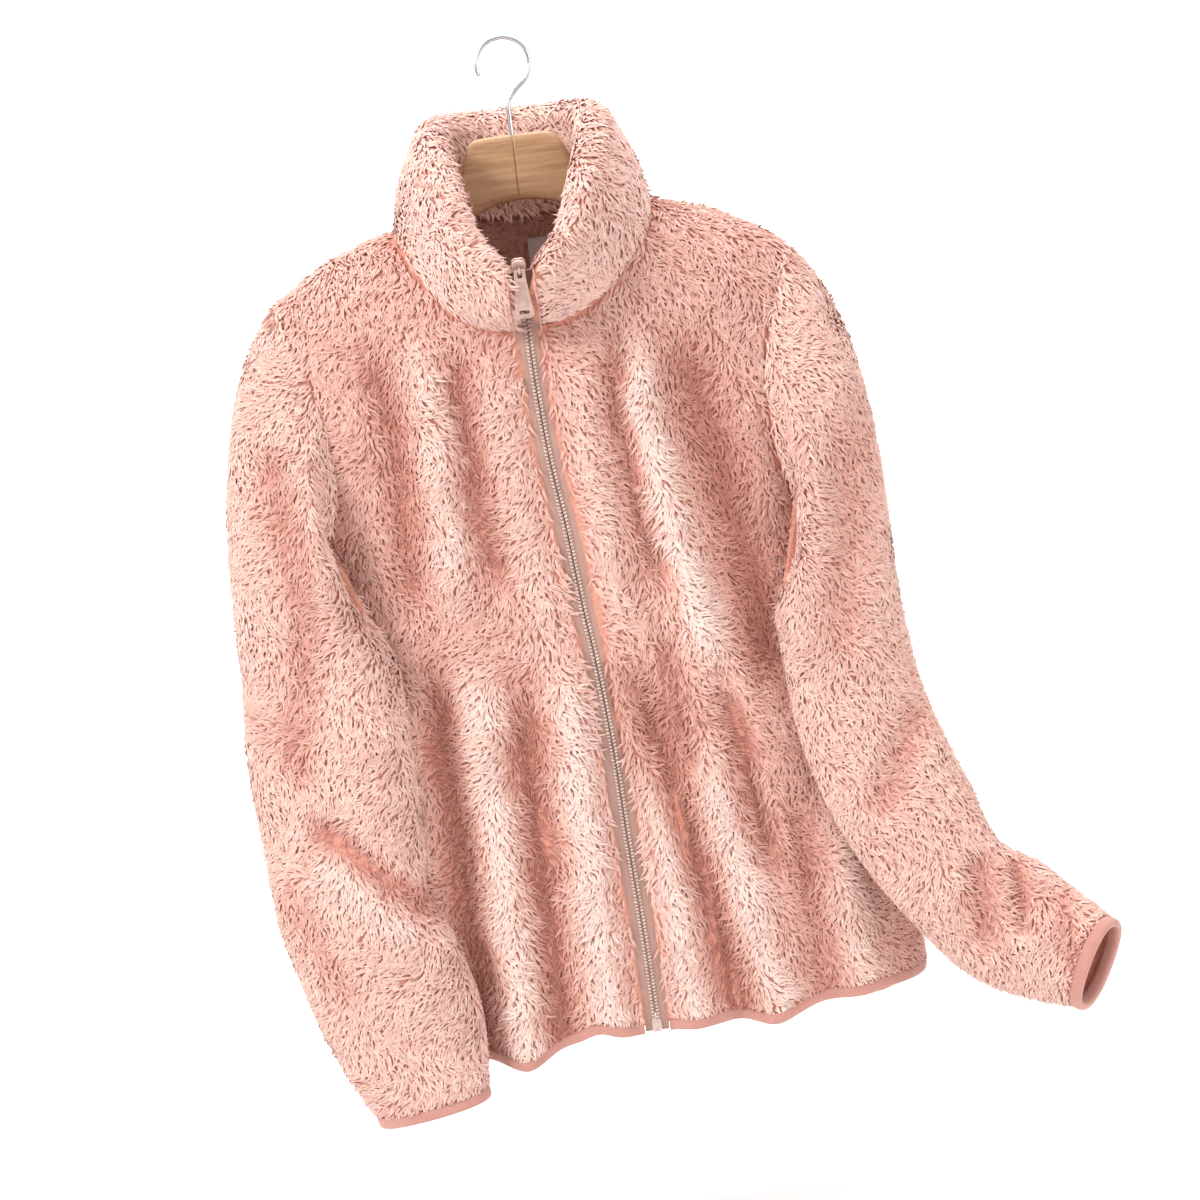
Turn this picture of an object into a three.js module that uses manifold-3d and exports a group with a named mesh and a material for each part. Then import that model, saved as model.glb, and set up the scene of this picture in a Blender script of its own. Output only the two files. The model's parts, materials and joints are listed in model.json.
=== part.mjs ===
// A zipped, stand-collar fleece jacket on a wooden hanger, as a maker would cut and sew it.
// Millimetres, +Z up, the front faces -Y, and the origin is the inside top of the hanger's hook.
// "left" and "right" are the wearer's, so left is +X.
import * as THREE from "three";
import Module from "manifold-3d";

// Driving dimensions
const wallThickness = 8; // knit backing with its pile, outside and inside
const seamGap = 0.3; // between two pieces that are sewn together
const collarBaseThickness = 18; // two layers of fleece at the neck seam
const collarRollRadius = 13; // half the thickness of the rolled top edge
const bindingHeight = 9;
const bindingThickness = 8;
const shoulderTip = { x: 189, z: -169 };
const neckPoint = { x: 96, z: -127 };
const shoulderCamber = 6; // how far the shoulder line bows up between neck and tip
const shoulderRoll = 170; // height over which the cloth rolls over the hanger's arm
const underarmZ = -392;
const hemZ = -750;
const neckFrontZ = -210;
const zipTopZ = -169;
const zipHalfWidth = 9.2; // from the zip's middle to the fleece on each side
const teethHalfWidth = 3.1;
const teethThickness = 2.8;
const tapeThickness = 1.2;
const zipInset = 3.6; // how far the zip lies behind the pile's tips
const sectionPower = 2.6; // of the superellipse of the body's level sections
const sleeveSectionPower = 2.3;
const sleeveBodyGap = 2.2; // a sleeve lies this far in front of the body

const body = [
  { z: -770, centreX: 27, halfWidth: 216, front: 52, back: 38, sideY: 8 },
  { z: -640, centreX: 22, halfWidth: 208, front: 54, back: 42, sideY: 8 },
  { z: -520, centreX: 12, halfWidth: 199, front: 56, back: 45, sideY: 9 },
  { z: -392, centreX: 2, halfWidth: 190, front: 57, back: 47, sideY: 9 },
  { z: -300, centreX: 0, halfWidth: 201, front: 58, back: 48, sideY: 3 },
  { z: -167, centreX: 0, halfWidth: 210, front: 56, back: 48, sideY: 0 },
];

const zipLine = [
  { z: -752, x: 24.3 },
  { z: -671, x: 22.5 },
  { z: -602, x: 19.7 },
  { z: -526, x: 17.3 },
  { z: -456, x: 12.4 },
  { z: -418, x: 8.3 },
  { z: -357, x: 3.4 },
  { z: -302, x: -2.5 },
  { z: -249, x: -5.4 },
  { z: -211, x: -6 },
  { z: -150, x: -6 },
];

// Outer outline of the armhole in front view, from the underarm (0) to the shoulder's tip (1)
const armhole = [
  { a: 0, frontX: 189, backX: 189 },
  { a: 0.15, frontX: 173, backX: 180 },
  { a: 0.3, frontX: 163, backX: 174 },
  { a: 0.5, frontX: 160, backX: 171 },
  { a: 0.7, frontX: 167, backX: 174 },
  { a: 0.88, frontX: 181, backX: 183 },
  { a: 1, frontX: 189, backX: 189 },
];

// The neck seam and the middle of the collar's rolled top edge, from centre front to centre back.
// A row's number is its station: sideStation is by the shoulder seam.
const sideStation = 5;
const backStation = 9;
const neckRing = [
  { x: 0, z: neckFrontZ },
  { x: 31, z: -206 },
  { x: 56, z: -192 },
  { x: 75, z: -171 },
  { x: 90, z: -148 },
  { x: 96, z: -127 },
  { x: 84, z: -121 },
  { x: 58, z: -124 },
  { x: 30, z: -128 },
  { x: 0, z: -129 },
];
const rollRing = [
  { x: 0, y: -86, z: -176 },
  { x: 22, y: -82, z: -164 },
  { x: 37, y: -70, z: -145 },
  { x: 46, y: -53, z: -118 },
  { x: 54, y: -33, z: -92 },
  { x: 60, y: -10, z: -73 },
  { x: 61, y: 14, z: -64 },
  { x: 51, y: 34, z: -61 },
  { x: 28, y: 46, z: -60 },
  { x: 0, y: 49, z: -60 },
];

// Folds that run down the cloth: rise is towards the outside, and negative is a trough
const frontFolds = [
  { topX: -34, topZ: -215, endX: -20, endZ: -470, bow: 0, rise: 4, width: 15 },
  { topX: -62, topZ: -200, endX: -48, endZ: -410, bow: -2, rise: -8, width: 12 },
  { topX: -90, topZ: -190, endX: -84, endZ: -420, bow: 4, rise: 6, width: 15 },
  { topX: -122, topZ: -190, endX: -122, endZ: -420, bow: 8, rise: -8, width: 13 },
  { topX: -12, topZ: -430, endX: -10, endZ: -800, bow: 0, rise: 9, width: 16 },
  { topX: -43, topZ: -440, endX: -46, endZ: -820, bow: -4, rise: -11, width: 13 },
  { topX: -78, topZ: -420, endX: -76, endZ: -820, bow: 0, rise: 9, width: 17 },
  { topX: -108, topZ: -410, endX: -112, endZ: -830, bow: 4, rise: -9, width: 15 },
  { topX: -140, topZ: -420, endX: -142, endZ: -830, bow: 0, rise: 6, width: 16 },
  { topX: 24, topZ: -215, endX: 36, endZ: -450, bow: -4, rise: 4, width: 13 },
  { topX: 56, topZ: -200, endX: 76, endZ: -430, bow: -10, rise: -9, width: 11 },
  { topX: 68, topZ: -200, endX: 118, endZ: -530, bow: -14, rise: 11, width: 14 },
  { topX: 98, topZ: -200, endX: 144, endZ: -520, bow: 6, rise: -10, width: 19 },
  { topX: 62, topZ: -430, endX: 74, endZ: -560, bow: 0, rise: -6, width: 9 },
  { topX: 96, topZ: -440, endX: 126, endZ: -650, bow: 0, rise: -10, width: 10 },
  { topX: 34, topZ: -440, endX: 104, endZ: -830, bow: 3, rise: -11, width: 12 },
  { topX: 40, topZ: -520, endX: 62, endZ: -830, bow: 0, rise: 8, width: 15 },
  { topX: 82, topZ: -510, endX: 130, endZ: -830, bow: 2, rise: 8, width: 16 },
  { topX: 146, topZ: -560, endX: 160, endZ: -830, bow: 0, rise: -6, width: 14 },
  { topX: 176, topZ: -560, endX: 192, endZ: -830, bow: 0, rise: 6, width: 15 },
];
const backFolds = [
  { topX: -150, topZ: -300, endX: -128, endZ: -820, bow: 6, rise: -7, width: 17 },
  { topX: -104, topZ: -230, endX: -84, endZ: -820, bow: -4, rise: 7, width: 20 },
  { topX: -60, topZ: -210, endX: -36, endZ: -830, bow: 5, rise: -8, width: 18 },
  { topX: -14, topZ: -240, endX: 10, endZ: -820, bow: 0, rise: 6, width: 22 },
  { topX: 40, topZ: -210, endX: 62, endZ: -830, bow: -6, rise: -8, width: 17 },
  { topX: 88, topZ: -230, endX: 112, endZ: -820, bow: 4, rise: 7, width: 20 },
  { topX: 138, topZ: -290, endX: 164, endZ: -820, bow: 0, rise: -7, width: 17 },
];
const hemDips = [
  { x: -78, drop: 14, width: 30 },
  { x: -20, drop: -8, width: 16 },
  { x: 112, drop: 8, width: 28 },
];
const hemSlope = 0.04; // the hem rises towards +X, square to the leaning zip
const backHemDrop = 14;

// Sleeve sections from under the armhole to the cuff. turn is the angle in plan by which the
// inner edge of the flattened tube lies further forward than the outer edge.
const rightSleeve = [
  { x: -192, y: -42, z: -443, halfWidth: 63, halfDepth: 29, turn: 20 },
  { x: -194, y: -44, z: -513, halfWidth: 66, halfDepth: 29, turn: 20 },
  { x: -192.5, y: -46, z: -573, halfWidth: 64, halfDepth: 28, turn: 18 },
  { x: -192, y: -48, z: -623, halfWidth: 60, halfDepth: 29, turn: 14 },
  { x: -177, y: -50, z: -674, halfWidth: 63, halfDepth: 27, turn: 10 },
  { x: -163.5, y: -50, z: -726, halfWidth: 60, halfDepth: 25, turn: 8 },
  { x: -153, y: -50, z: -781, halfWidth: 46, halfDepth: 21, turn: 6 },
];
const leftSleeve = [
  { x: 197, y: -40, z: -443, halfWidth: 49, halfDepth: 29, turn: 20 },
  { x: 202, y: -42, z: -503, halfWidth: 51, halfDepth: 29, turn: 20 },
  { x: 212, y: -46, z: -550, halfWidth: 52, halfDepth: 29, turn: 16 },
  { x: 231, y: -54, z: -602, halfWidth: 51, halfDepth: 29, turn: 10 },
  { x: 258, y: -62, z: -656, halfWidth: 45, halfDepth: 28, turn: 4 },
  { x: 298, y: -72, z: -693, halfWidth: 50, halfDepth: 26, turn: 0 },
  { x: 345, y: -112, z: -716, halfWidth: 37, halfDepth: 24, turn: 0 },
];
// Folds across or along a sleeve, on the front half and, weaker, on the back half
const rightSleeveFolds = [
  { x: -206, z: -270, toX: -190, toZ: -385, rise: -7, width: 14 },
  { x: -190, z: -385, toX: -220, toZ: -520, rise: -7, width: 16 },
  { x: -210, z: -548, toX: -128, toZ: -628, rise: -10, width: 11 },
  { x: -204, z: -580, toX: -150, toZ: -640, rise: 5, width: 12 },
  { x: -238, z: -600, toX: -200, toZ: -690, rise: -5, width: 14 },
];
const leftSleeveFolds = [
  { x: 222, z: -300, toX: 190, toZ: -470, rise: -5, width: 18 },
  { x: 246, z: -520, toX: 205, toZ: -590, rise: -6, width: 14 },
  { x: 274, z: -632, toX: 272, toZ: -702, rise: -8, width: 11 },
  { x: 300, z: -640, toX: 300, toZ: -690, rise: -9, width: 8 },
  { x: 326, z: -662, toX: 334, toZ: -718, rise: -6, width: 10 },
];

const clamp = (value, low, high) => Math.min(Math.max(value, low), high);
const mix = (from, to, share) => from + (to - from) * share;
const ease = (share) => {
  const t = clamp(share, 0, 1);
  return t * t * (3 - 2 * t);
};
const add = (p, q, scale = 1) => p.map((value, i) => value + q[i] * scale);
const mixPoints = (p, q, share) => p.map((value, i) => mix(value, q[i], share));
const cross = (p, q) => [
  p[1] * q[2] - p[2] * q[1],
  p[2] * q[0] - p[0] * q[2],
  p[0] * q[1] - p[1] * q[0],
];
const dot = (p, q) => p[0] * q[0] + p[1] * q[1] + p[2] * q[2];
const unit = (p) => {
  const length = Math.hypot(...p);
  return p.map((value) => value / length);
};

// Reads a column of a table at a key by a cubic through its rows, level at both ends.
function read(table, key, column, at) {
  const rows = table[0][key] < table[table.length - 1][key] ? table : [...table].reverse();
  const last = rows.length - 1;
  const value = clamp(at, rows[0][key], rows[last][key]);
  let i = 0;
  while (i < last - 1 && rows[i + 1][key] < value) i += 1;
  const slope = (k) => {
    const low = rows[Math.max(k - 1, 0)];
    const high = rows[Math.min(k + 1, last)];
    return (high[column] - low[column]) / (high[key] - low[key]);
  };
  const span = rows[i + 1][key] - rows[i][key];
  const t = (value - rows[i][key]) / span;
  const rise = t * t * (3 - 2 * t);
  return (
    mix(rows[i][column], rows[i + 1][column], rise) +
    span * (slope(i) * t * (1 - t) * (1 - t) - slope(i + 1) * t * t * (1 - t))
  );
}

// Reads a table by its row number, as a smooth curve through the rows.
const readRow = (table, column, at) =>
  read(table.map((row, i) => ({ i, value: row[column] })), "i", "value", at);

// How far folds lift the cloth at a point of the front view.
function foldRise(folds, x, z) {
  let rise = 0;
  for (const fold of folds) {
    const down = (fold.topZ - z) / (fold.topZ - fold.endZ);
    if (down <= 0 || down >= 1) continue;
    const middle = mix(fold.topX, fold.endX, down) + 4 * fold.bow * down * (1 - down);
    const across = (x - middle) / fold.width;
    rise += fold.rise * Math.exp(-across * across) * ease(down * 5) * ease((1 - down) * 5);
  }
  return rise;
}

const shoulderSlope = (neckPoint.z - shoulderTip.z) / (shoulderTip.x - neckPoint.x);

// Height of the shoulder's top line. Between the neck points it goes on up towards the neck.
function shoulderLine(x, neckRise) {
  const out = Math.abs(x) - neckPoint.x;
  if (out < 0) return neckPoint.z - out * neckRise;
  const share = out / (shoulderTip.x - neckPoint.x);
  return neckPoint.z - shoulderSlope * out + 4 * shoulderCamber * share * (1 - share);
}

// The cloth's outer surface as a depth over the front view: level superellipses whose top rolls
// over the shoulder line. face is -1 for the front and 1 for the back, and grown widens it.
const neckRise = { front: 0.4, back: 0.9 }; // slope at which the cloth goes on up beside the neck
const besideZip = 14; // the folds set in over this width beside the zip
const foldEdgePower = 8; // of the curve by which folds fade towards the side seams
const foldTop = { from: 0.2, over: 0.5 }; // shares of the shoulder's roll where folds set in
function bodyY(face, x, z, grown = 0) {
  const depth = read(body, "z", face < 0 ? "front" : "back", z);
  const sideY = read(body, "z", "sideY", z);
  const across = clamp(
    Math.abs(x - read(body, "z", "centreX", z)) / (read(body, "z", "halfWidth", z) + grown), 0, 1,
  );
  const section = (1 - across ** sectionPower) ** (1 / sectionPower);
  const top = shoulderLine(x, face < 0 ? neckRise.front : neckRise.back);
  const below = clamp((top - z) / shoulderRoll, 0, 1);
  const roll = Math.sqrt(1 - (1 - below) ** 3);
  const flat = face < 0 ? ease((Math.abs(x - zipX(z)) - zipHalfWidth) / besideZip) : 1;
  const fade = (1 - across ** foldEdgePower) * ease((below - foldTop.from) / foldTop.over);
  const folds = foldRise(face < 0 ? frontFolds : backFolds, x, z) * flat * fade;
  return sideY * roll + face * ((depth - face * sideY) * section * roll + folds);
}

const zipX = (z) => read(zipLine, "z", "x", z);
const sideX = (side, z) =>
  read(body, "z", "centreX", z) + side * read(body, "z", "halfWidth", z);

// How far the hem's line lies from level at x.
function hemShift(x) {
  let shift = hemSlope * (x - zipX(hemZ));
  for (const dip of hemDips) shift -= dip.drop * Math.exp(-(((x - dip.x) / dip.width) ** 2));
  return shift;
}

// Lets the lower rows of a panel follow the hem's line.
function hemmed(x, z, extraDrop) {
  const share = clamp((underarmZ - z) / (underarmZ - hemZ), 0, 1);
  return z + (hemShift(x) - extraDrop) * share ** 3;
}

// Index of the row of a panel where the side seam ends in the underarm, and of the last row.
const sideRows = 12;
const armholeRows = 11;
const panelRows = sideRows + armholeRows;
const neckRow = 16;

// Share of the way up the armhole at a row above the underarm. Rows crowd towards the shoulder.
const upShare = (row) => 1 - (1 - clamp(row / armholeRows, 0, 1)) ** 1.5;
// Station of the neck seam at a row of a front.
const neckStation = (row) =>
  sideStation * (1 - (1 - (row - neckRow) / (panelRows - neckRow)) ** 1.3);

// A point of the armhole's edge, a share of the way up from the underarm.
function armholePoint(side, face, share) {
  const z = mix(underarmZ, shoulderTip.z, share);
  const x = side * read(armhole, "a", face < 0 ? "frontX" : "backX", share);
  const y = share >= 1 ? 0 : bodyY(face, x, z);
  return [x + ((1 - share) ** 4) * (sideX(side, underarmZ) - side * armhole[0].frontX), y, z];
}

// Outline in front view of a panel's outer edge: side seam, then armhole.
function outerEdge(side, face, row) {
  if (row <= sideRows) {
    const z = mix(hemZ + bindingHeight + seamGap, underarmZ, row / sideRows);
    return [sideX(side, z), z];
  }
  const [x, , z] = armholePoint(side, face, upShare(row - sideRows));
  return [x, z];
}

// Outline of a front's inner edge: beside the zip, then along the neck seam.
function innerEdge(side, row) {
  if (row <= neckRow) {
    const z = row <= sideRows
      ? mix(hemZ + bindingHeight + seamGap, underarmZ, row / sideRows)
      : mix(underarmZ, neckFrontZ, (row - sideRows) / (neckRow - sideRows));
    return [zipX(z) + side * (zipHalfWidth + seamGap), z];
  }
  return neckPosition(side, neckStation(row));
}

// x and z on the neck seam. Its front is shifted with the zip.
function neckPosition(side, station) {
  const shift = zipX(neckFrontZ) * ease(1 - station / sideStation);
  const atZip = side * (zipHalfWidth + seamGap) * Math.max(0, 1 - station);
  return [shift + atZip + side * readRow(neckRing, "x", station), readRow(neckRing, "z", station)];
}

// One front, with across from the zip (0) to the side (1) and row from hem to shoulder.
function frontPoint(side, across, row) {
  const [x0, z0] = innerEdge(side, row);
  const [x1, z1] = outerEdge(side, -1, row);
  const above = ease((row - sideRows) / (neckRow - sideRows));
  const share = mix(Math.sin((across * Math.PI) / 2), across, above);
  const x = mix(x0, x1, share);
  const camber = row > neckRow ? (row - neckRow) / (panelRows - neckRow) : 0;
  const z = mix(z0, z1, share) + 4 * shoulderCamber * share * (1 - share) * camber ** 2;
  const y = row === panelRows || across >= 1 && row <= sideRows
    ? seamY(z) - seamGap / 2
    : bodyY(-1, x, z);
  return [x, Math.min(y, seamY(z) - seamGap / 2), hemmed(x, z, 0)];
}

// y of the side seams, and of the shoulder seams above them.
const seamBlend = 60; // height over which the side seam's line comes to the shoulder's
const seamY = (z) => read(body, "z", "sideY", z) * ease((shoulderTip.z - z) / seamBlend);

// The back, with across from the right side (-1) to the left side (1).
const backNeckShare = 0.5;
const backCorner = { x: 205, drop: 16, width: 26 }; // where the back hangs lower beside its seam
const backNeckStation = (far) =>
  backStation - (backStation - sideStation) * (far / backNeckShare);
function backPoint(across, row) {
  const side = across < 0 ? -1 : 1;
  const far = Math.abs(across);
  const [edgeX, edgeZ] = outerEdge(side, 1, row);
  if (row <= sideRows) {
    const centre = read(body, "z", "centreX", edgeZ);
    const x = mix(centre, edgeX, Math.sin((far * Math.PI) / 2));
    const y = far >= 1 ? 0 : bodyY(1, x, edgeZ);
    const corner = backCorner.drop * Math.exp(-(((x - backCorner.x) / backCorner.width) ** 2));
    const dropped = (backHemDrop + corner) * (1 - far ** 3);
    return [x, Math.max(y, seamY(edgeZ) + seamGap / 2), hemmed(x, edgeZ, dropped)];
  }
  const up = upShare(row - sideRows);
  const bottomX = mix(
    read(body, "z", "centreX", underarmZ), sideX(side, underarmZ), Math.sin((far * Math.PI) / 2),
  );
  const station = backNeckStation(far);
  const out = (far - backNeckShare) / (1 - backNeckShare);
  const topX = far < backNeckShare
    ? neckPosition(side, station)[0]
    : side * mix(neckPoint.x, shoulderTip.x, out);
  const topZ = far < backNeckShare ? neckPosition(side, station)[1] : shoulderLine(topX, 0);
  const notch = edgeX - mix(sideX(side, underarmZ), side * shoulderTip.x, up);
  const x = mix(bottomX, topX, up) + notch * far ** 3;
  const z = mix(underarmZ, topZ, up);
  const onShoulder = row === panelRows && far >= backNeckShare;
  const y = onShoulder ? 0 : bodyY(1, x, z);
  return [x, Math.max(y, seamY(z) + seamGap / 2), z];
}

// A grid of points from a function of column and row numbers.
const gridOf = (columns, rows, point) =>
  Array.from({ length: columns + 1 }, (_, i) =>
    Array.from({ length: rows + 1 }, (_, j) => point(i, j)));

// Unit normals of a grid, by the differences of its neighbours. around says that columns close.
function normalsOf(grid, around, flip) {
  const columns = grid.length - 1;
  const rows = grid[0].length - 1;
  const wrap = (i) => (around ? (i + columns) % columns : clamp(i, 0, columns));
  return grid.map((line, i) =>
    line.map((_, j) => {
      const alongRow = add(grid[wrap(i + 1)][j], grid[wrap(i - 1)][j], -1);
      const alongColumn = add(line[Math.min(j + 1, rows)], line[Math.max(j - 1, 0)], -1);
      const normal = cross(alongRow, alongColumn);
      return unit(normal.map((value) => value * flip));
    }));
}

// Averages the normals of a closed grid with their neighbours', so that thick walls don't cross
// where the cloth turns sharply.
function smoothAround(normals) {
  const columns = normals.length - 1;
  return normals.map((line, i) =>
    line.map((normal, j) => {
      const before = normals[(i + columns - 1) % columns][j];
      const after = normals[(i + 1) % columns][j];
      const below = line[Math.max(j - 1, 0)];
      const above = line[Math.min(j + 1, line.length - 1)];
      return unit(normal.map((value, k) => 2 * value + before[k] + after[k] + below[k] + above[k]));
    }));
}

// A solid between two grids: both faces, and a strip along each free edge.
function solidBetween(outer, inner, around, material, name) {
  const columns = outer.length - 1;
  const rows = outer[0].length - 1;
  const positions = [];
  const index = [];
  const used = around ? columns : columns + 1;
  const numberOf = (face, i, j) => (face * used + (i % used)) * (rows + 1) + j;
  for (const grid of [outer, inner])
    for (let i = 0; i < used; i += 1) for (let j = 0; j <= rows; j += 1) positions.push(...grid[i][j]);
  const quad = (a, b, c, d) => index.push(a, b, c, a, c, d);
  for (let i = 0; i < columns; i += 1)
    for (let j = 0; j < rows; j += 1) {
      quad(numberOf(0, i, j), numberOf(0, i + 1, j), numberOf(0, i + 1, j + 1), numberOf(0, i, j + 1));
      quad(numberOf(1, i, j), numberOf(1, i, j + 1), numberOf(1, i + 1, j + 1), numberOf(1, i + 1, j));
    }
  for (let i = 0; i < columns; i += 1) {
    quad(numberOf(0, i, 0), numberOf(1, i, 0), numberOf(1, i + 1, 0), numberOf(0, i + 1, 0));
    quad(numberOf(0, i, rows), numberOf(0, i + 1, rows), numberOf(1, i + 1, rows), numberOf(1, i, rows));
  }
  if (!around)
    for (let j = 0; j < rows; j += 1) {
      quad(numberOf(0, 0, j), numberOf(0, 0, j + 1), numberOf(1, 0, j + 1), numberOf(1, 0, j));
      quad(numberOf(0, columns, j), numberOf(1, columns, j), numberOf(1, columns, j + 1), numberOf(0, columns, j + 1));
    }
  return meshOf(positions, index, material, name);
}

// A solid from closed sections, each a list of points, joined in order and capped at both ends.
function solidAlong(sections, closed, material, name) {
  const count = sections[0].length;
  const positions = sections.flat(2);
  const index = [];
  const last = sections.length - 1;
  for (let i = 0; i < (closed ? last + 1 : last); i += 1)
    for (let j = 0; j < count; j += 1) {
      const next = ((i + 1) % sections.length) * count;
      const side = (j + 1) % count;
      index.push(i * count + j, i * count + side, next + side, i * count + j, next + side, next + j);
    }
  if (!closed)
    for (let j = 1; j < count - 1; j += 1) {
      index.push(0, j + 1, j);
      index.push(last * count, last * count + j, last * count + j + 1);
    }
  return meshOf(positions, index, material, name);
}

// A mesh that faces out: the sign of its volume says whether its triangles are turned.
function meshOf(positions, index, material, name) {
  let volume = 0;
  for (let k = 0; k < index.length; k += 3) {
    const [p, q, r] = [0, 1, 2].map((n) => positions.slice(3 * index[k + n], 3 * index[k + n] + 3));
    volume += dot(p, cross(q, r));
  }
  const facing = volume < 0 ? index.map((_, k) => index[k - (k % 3) + [0, 2, 1][k % 3]]) : index;
  const geometry = new THREE.BufferGeometry();
  geometry.setAttribute("position", new THREE.Float32BufferAttribute(positions, 3));
  geometry.setIndex(facing);
  geometry.computeVertexNormals();
  const mesh = new THREE.Mesh(geometry, material);
  mesh.name = name;
  return mesh;
}

const fleece = new THREE.MeshStandardMaterial({ color: 0xe3b3a5, roughness: 0.95 });
const bindingCloth = new THREE.MeshStandardMaterial({ color: 0xd89a92, roughness: 0.8 });
const tapeCloth = new THREE.MeshStandardMaterial({ color: 0xb98f85, roughness: 0.8 });
const teethPlastic = new THREE.MeshStandardMaterial({ color: 0xc7a497, roughness: 0.45 });
const coatedMetal = new THREE.MeshStandardMaterial({ color: 0xd2a697, roughness: 0.4, metalness: 0.2 });
const wood = new THREE.MeshStandardMaterial({ color: 0xc99f6b, roughness: 0.55 });
const steel = new THREE.MeshStandardMaterial({ color: 0xb9b9bb, roughness: 0.3, metalness: 1 });
const labelCloth = new THREE.MeshStandardMaterial({ color: 0xe8e6e4, roughness: 0.8 });

// Inward direction across the wall's edge at the armhole, from the top (0) by the front.
const armholeInward = (turn) => [0, Math.sin(turn), -Math.cos(turn)];
const armholeTurn = (face, share) => {
  const turn = Math.acos(clamp(2 * share - 1, -1, 1));
  return face < 0 ? turn : 2 * Math.PI - turn;
};

// Inward direction across the wall's edge at the neck seam: in, and down at the shoulders.
const slumpStations = 2.5; // behind the shoulder seam, until the edge is level again
function neckInward(side, station) {
  const pastSide = station - sideStation;
  const turned = pastSide <= 0
    ? 0.5 * (station / sideStation)
    : 0.5 + 0.5 * (pastSide / (backStation - sideStation));
  const around = turned * Math.PI;
  const slump = pastSide <= 0 ? Math.sin(around) ** 2 : 1 - ease(pastSide / slumpStations);
  return unit([-side * Math.sin(around), Math.cos(around), -slump]);
}

// The inner face of a panel: its points moved in by the wall, along the shared edge directions
// where it meets a sleeve, the collar or the other panel.
function innerOf(grid, normals, edgeDirection) {
  return grid.map((line, i) =>
    line.map((point, j) => {
      const own = normals[i][j].map((value) => -value);
      const shared = edgeDirection(i, j);
      return add(point, shared ?? own, wallThickness);
    }));
}

// A panel's level normal pointing in, which its hem and the binding under it share.
const levelInward = (normal) => unit([-normal[0], -normal[1], 0]);

const frontColumns = 18;
function frontGrids(side) {
  const grid = gridOf(frontColumns, panelRows, (i, j) => frontPoint(side, i / frontColumns, j));
  const normals = normalsOf(grid, false, side);
  const inner = innerOf(grid, normals, (i, j) => {
    if (i === frontColumns && j >= sideRows)
      return armholeInward(armholeTurn(-1, upShare(j - sideRows)));
    if (i === frontColumns) return [-side, 0, 0];
    if (i === 0 && j >= neckRow) return neckInward(side, neckStation(j));
    if (i === 0) return [0, 1, 0];
    if (j === 0) return levelInward(normals[i][j]);
    return j === panelRows ? [0, 0, -1] : null;
  });
  return { grid, inner };
}

// Columns of the back from its middle to one side, and those of them on the neck seam.
const backHalfColumns = 12;
const backNeckColumns = backHalfColumns * backNeckShare;
function backGrids() {
  const columns = 2 * backHalfColumns;
  const grid = gridOf(columns, panelRows, (i, j) => backPoint(i / backHalfColumns - 1, j));
  const normals = normalsOf(grid, false, -1);
  const inner = innerOf(grid, normals, (i, j) => {
    const far = Math.abs(i / backHalfColumns - 1);
    const side = i < backHalfColumns ? -1 : 1;
    if (far >= 1 && j >= sideRows)
      return armholeInward(armholeTurn(1, upShare(j - sideRows)));
    if (far >= 1) return [-side, 0, 0];
    if (j === panelRows && far <= backNeckShare)
      return neckInward(side, backNeckStation(far));
    if (j === 0) return levelInward(normals[i][j]);
    return j === panelRows ? [0, 0, -1] : null;
  });
  return { grid, inner };
}

function makePanel({ grid, inner }, name) {
  return solidBetween(grid, inner, false, fleece, name);
}

// Frame of a sleeve's section: the way along it, outwards across it, and forwards through it.
function sleeveFrame(side, table, at) {
  const position = (s) => ["x", "y", "z"].map((column) => readRow(table, column, s));
  const last = table.length - 1;
  const along = unit(add(position(Math.min(at + 0.2, last)), position(Math.max(at - 0.2, 0)), -1));
  const forward = unit(add([0, -1, 0], along, -dot([0, -1, 0], along)));
  const across = cross(forward, along).map((value) => value * side);
  const turn = (readRow(table, "turn", at) * Math.PI) / 180;
  const outwards = across.map((value, i) => value * Math.cos(turn) - forward[i] * Math.sin(turn));
  const front = across.map((value, i) => value * Math.sin(turn) + forward[i] * Math.cos(turn));
  return { centre: position(at), along, outwards, front };
}

const power = (value, exponent) => Math.sign(value) * Math.abs(value) ** exponent;

// A point of a sleeve's tube: angle 0 is its outer edge, and a quarter turn is its front.
function tubePoint(side, table, at, angle, shrink) {
  const { centre, outwards, front } = sleeveFrame(side, table, at);
  const exponent = 2 / sleeveSectionPower;
  const a = (readRow(table, "halfWidth", at) - shrink) * power(Math.cos(angle), exponent);
  const b = (readRow(table, "halfDepth", at) - shrink) * power(Math.sin(angle), exponent);
  return add(add(centre, outwards, a), front, b);
}

// Lift of a sleeve's surface by its folds, which are short lines in the front view.
const foldOnBack = 0.6; // of the lift on the front half
function sleeveRise(folds, x, z, facing) {
  let rise = 0;
  for (const fold of folds) {
    const length = Math.hypot(fold.toX - fold.x, fold.toZ - fold.z);
    const way = [(fold.toX - fold.x) / length, (fold.toZ - fold.z) / length];
    const along = ((x - fold.x) * way[0] + (z - fold.z) * way[1]) / length;
    const across = ((x - fold.x) * way[1] - (z - fold.z) * way[0]) / fold.width;
    rise += fold.rise * Math.exp(-across * across) * ease(along * 4 + 0.5) * ease((1 - along) * 4 + 0.5);
  }
  return rise * (facing > 0 ? facing : -foldOnBack * facing);
}

const sleeveColumns = 2 * armholeRows;
const capRings = 9;
const tubeRings = 16;
const underarmPassY = -34; // where the sleeve's inner half passes over the front's edge

// Row above the underarm, and face, of a sleeve's column: down the front, then up the back.
const columnRow = (column) => Math.abs(armholeRows - column);
const columnFace = (column) => (column <= armholeRows ? -1 : 1);

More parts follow.
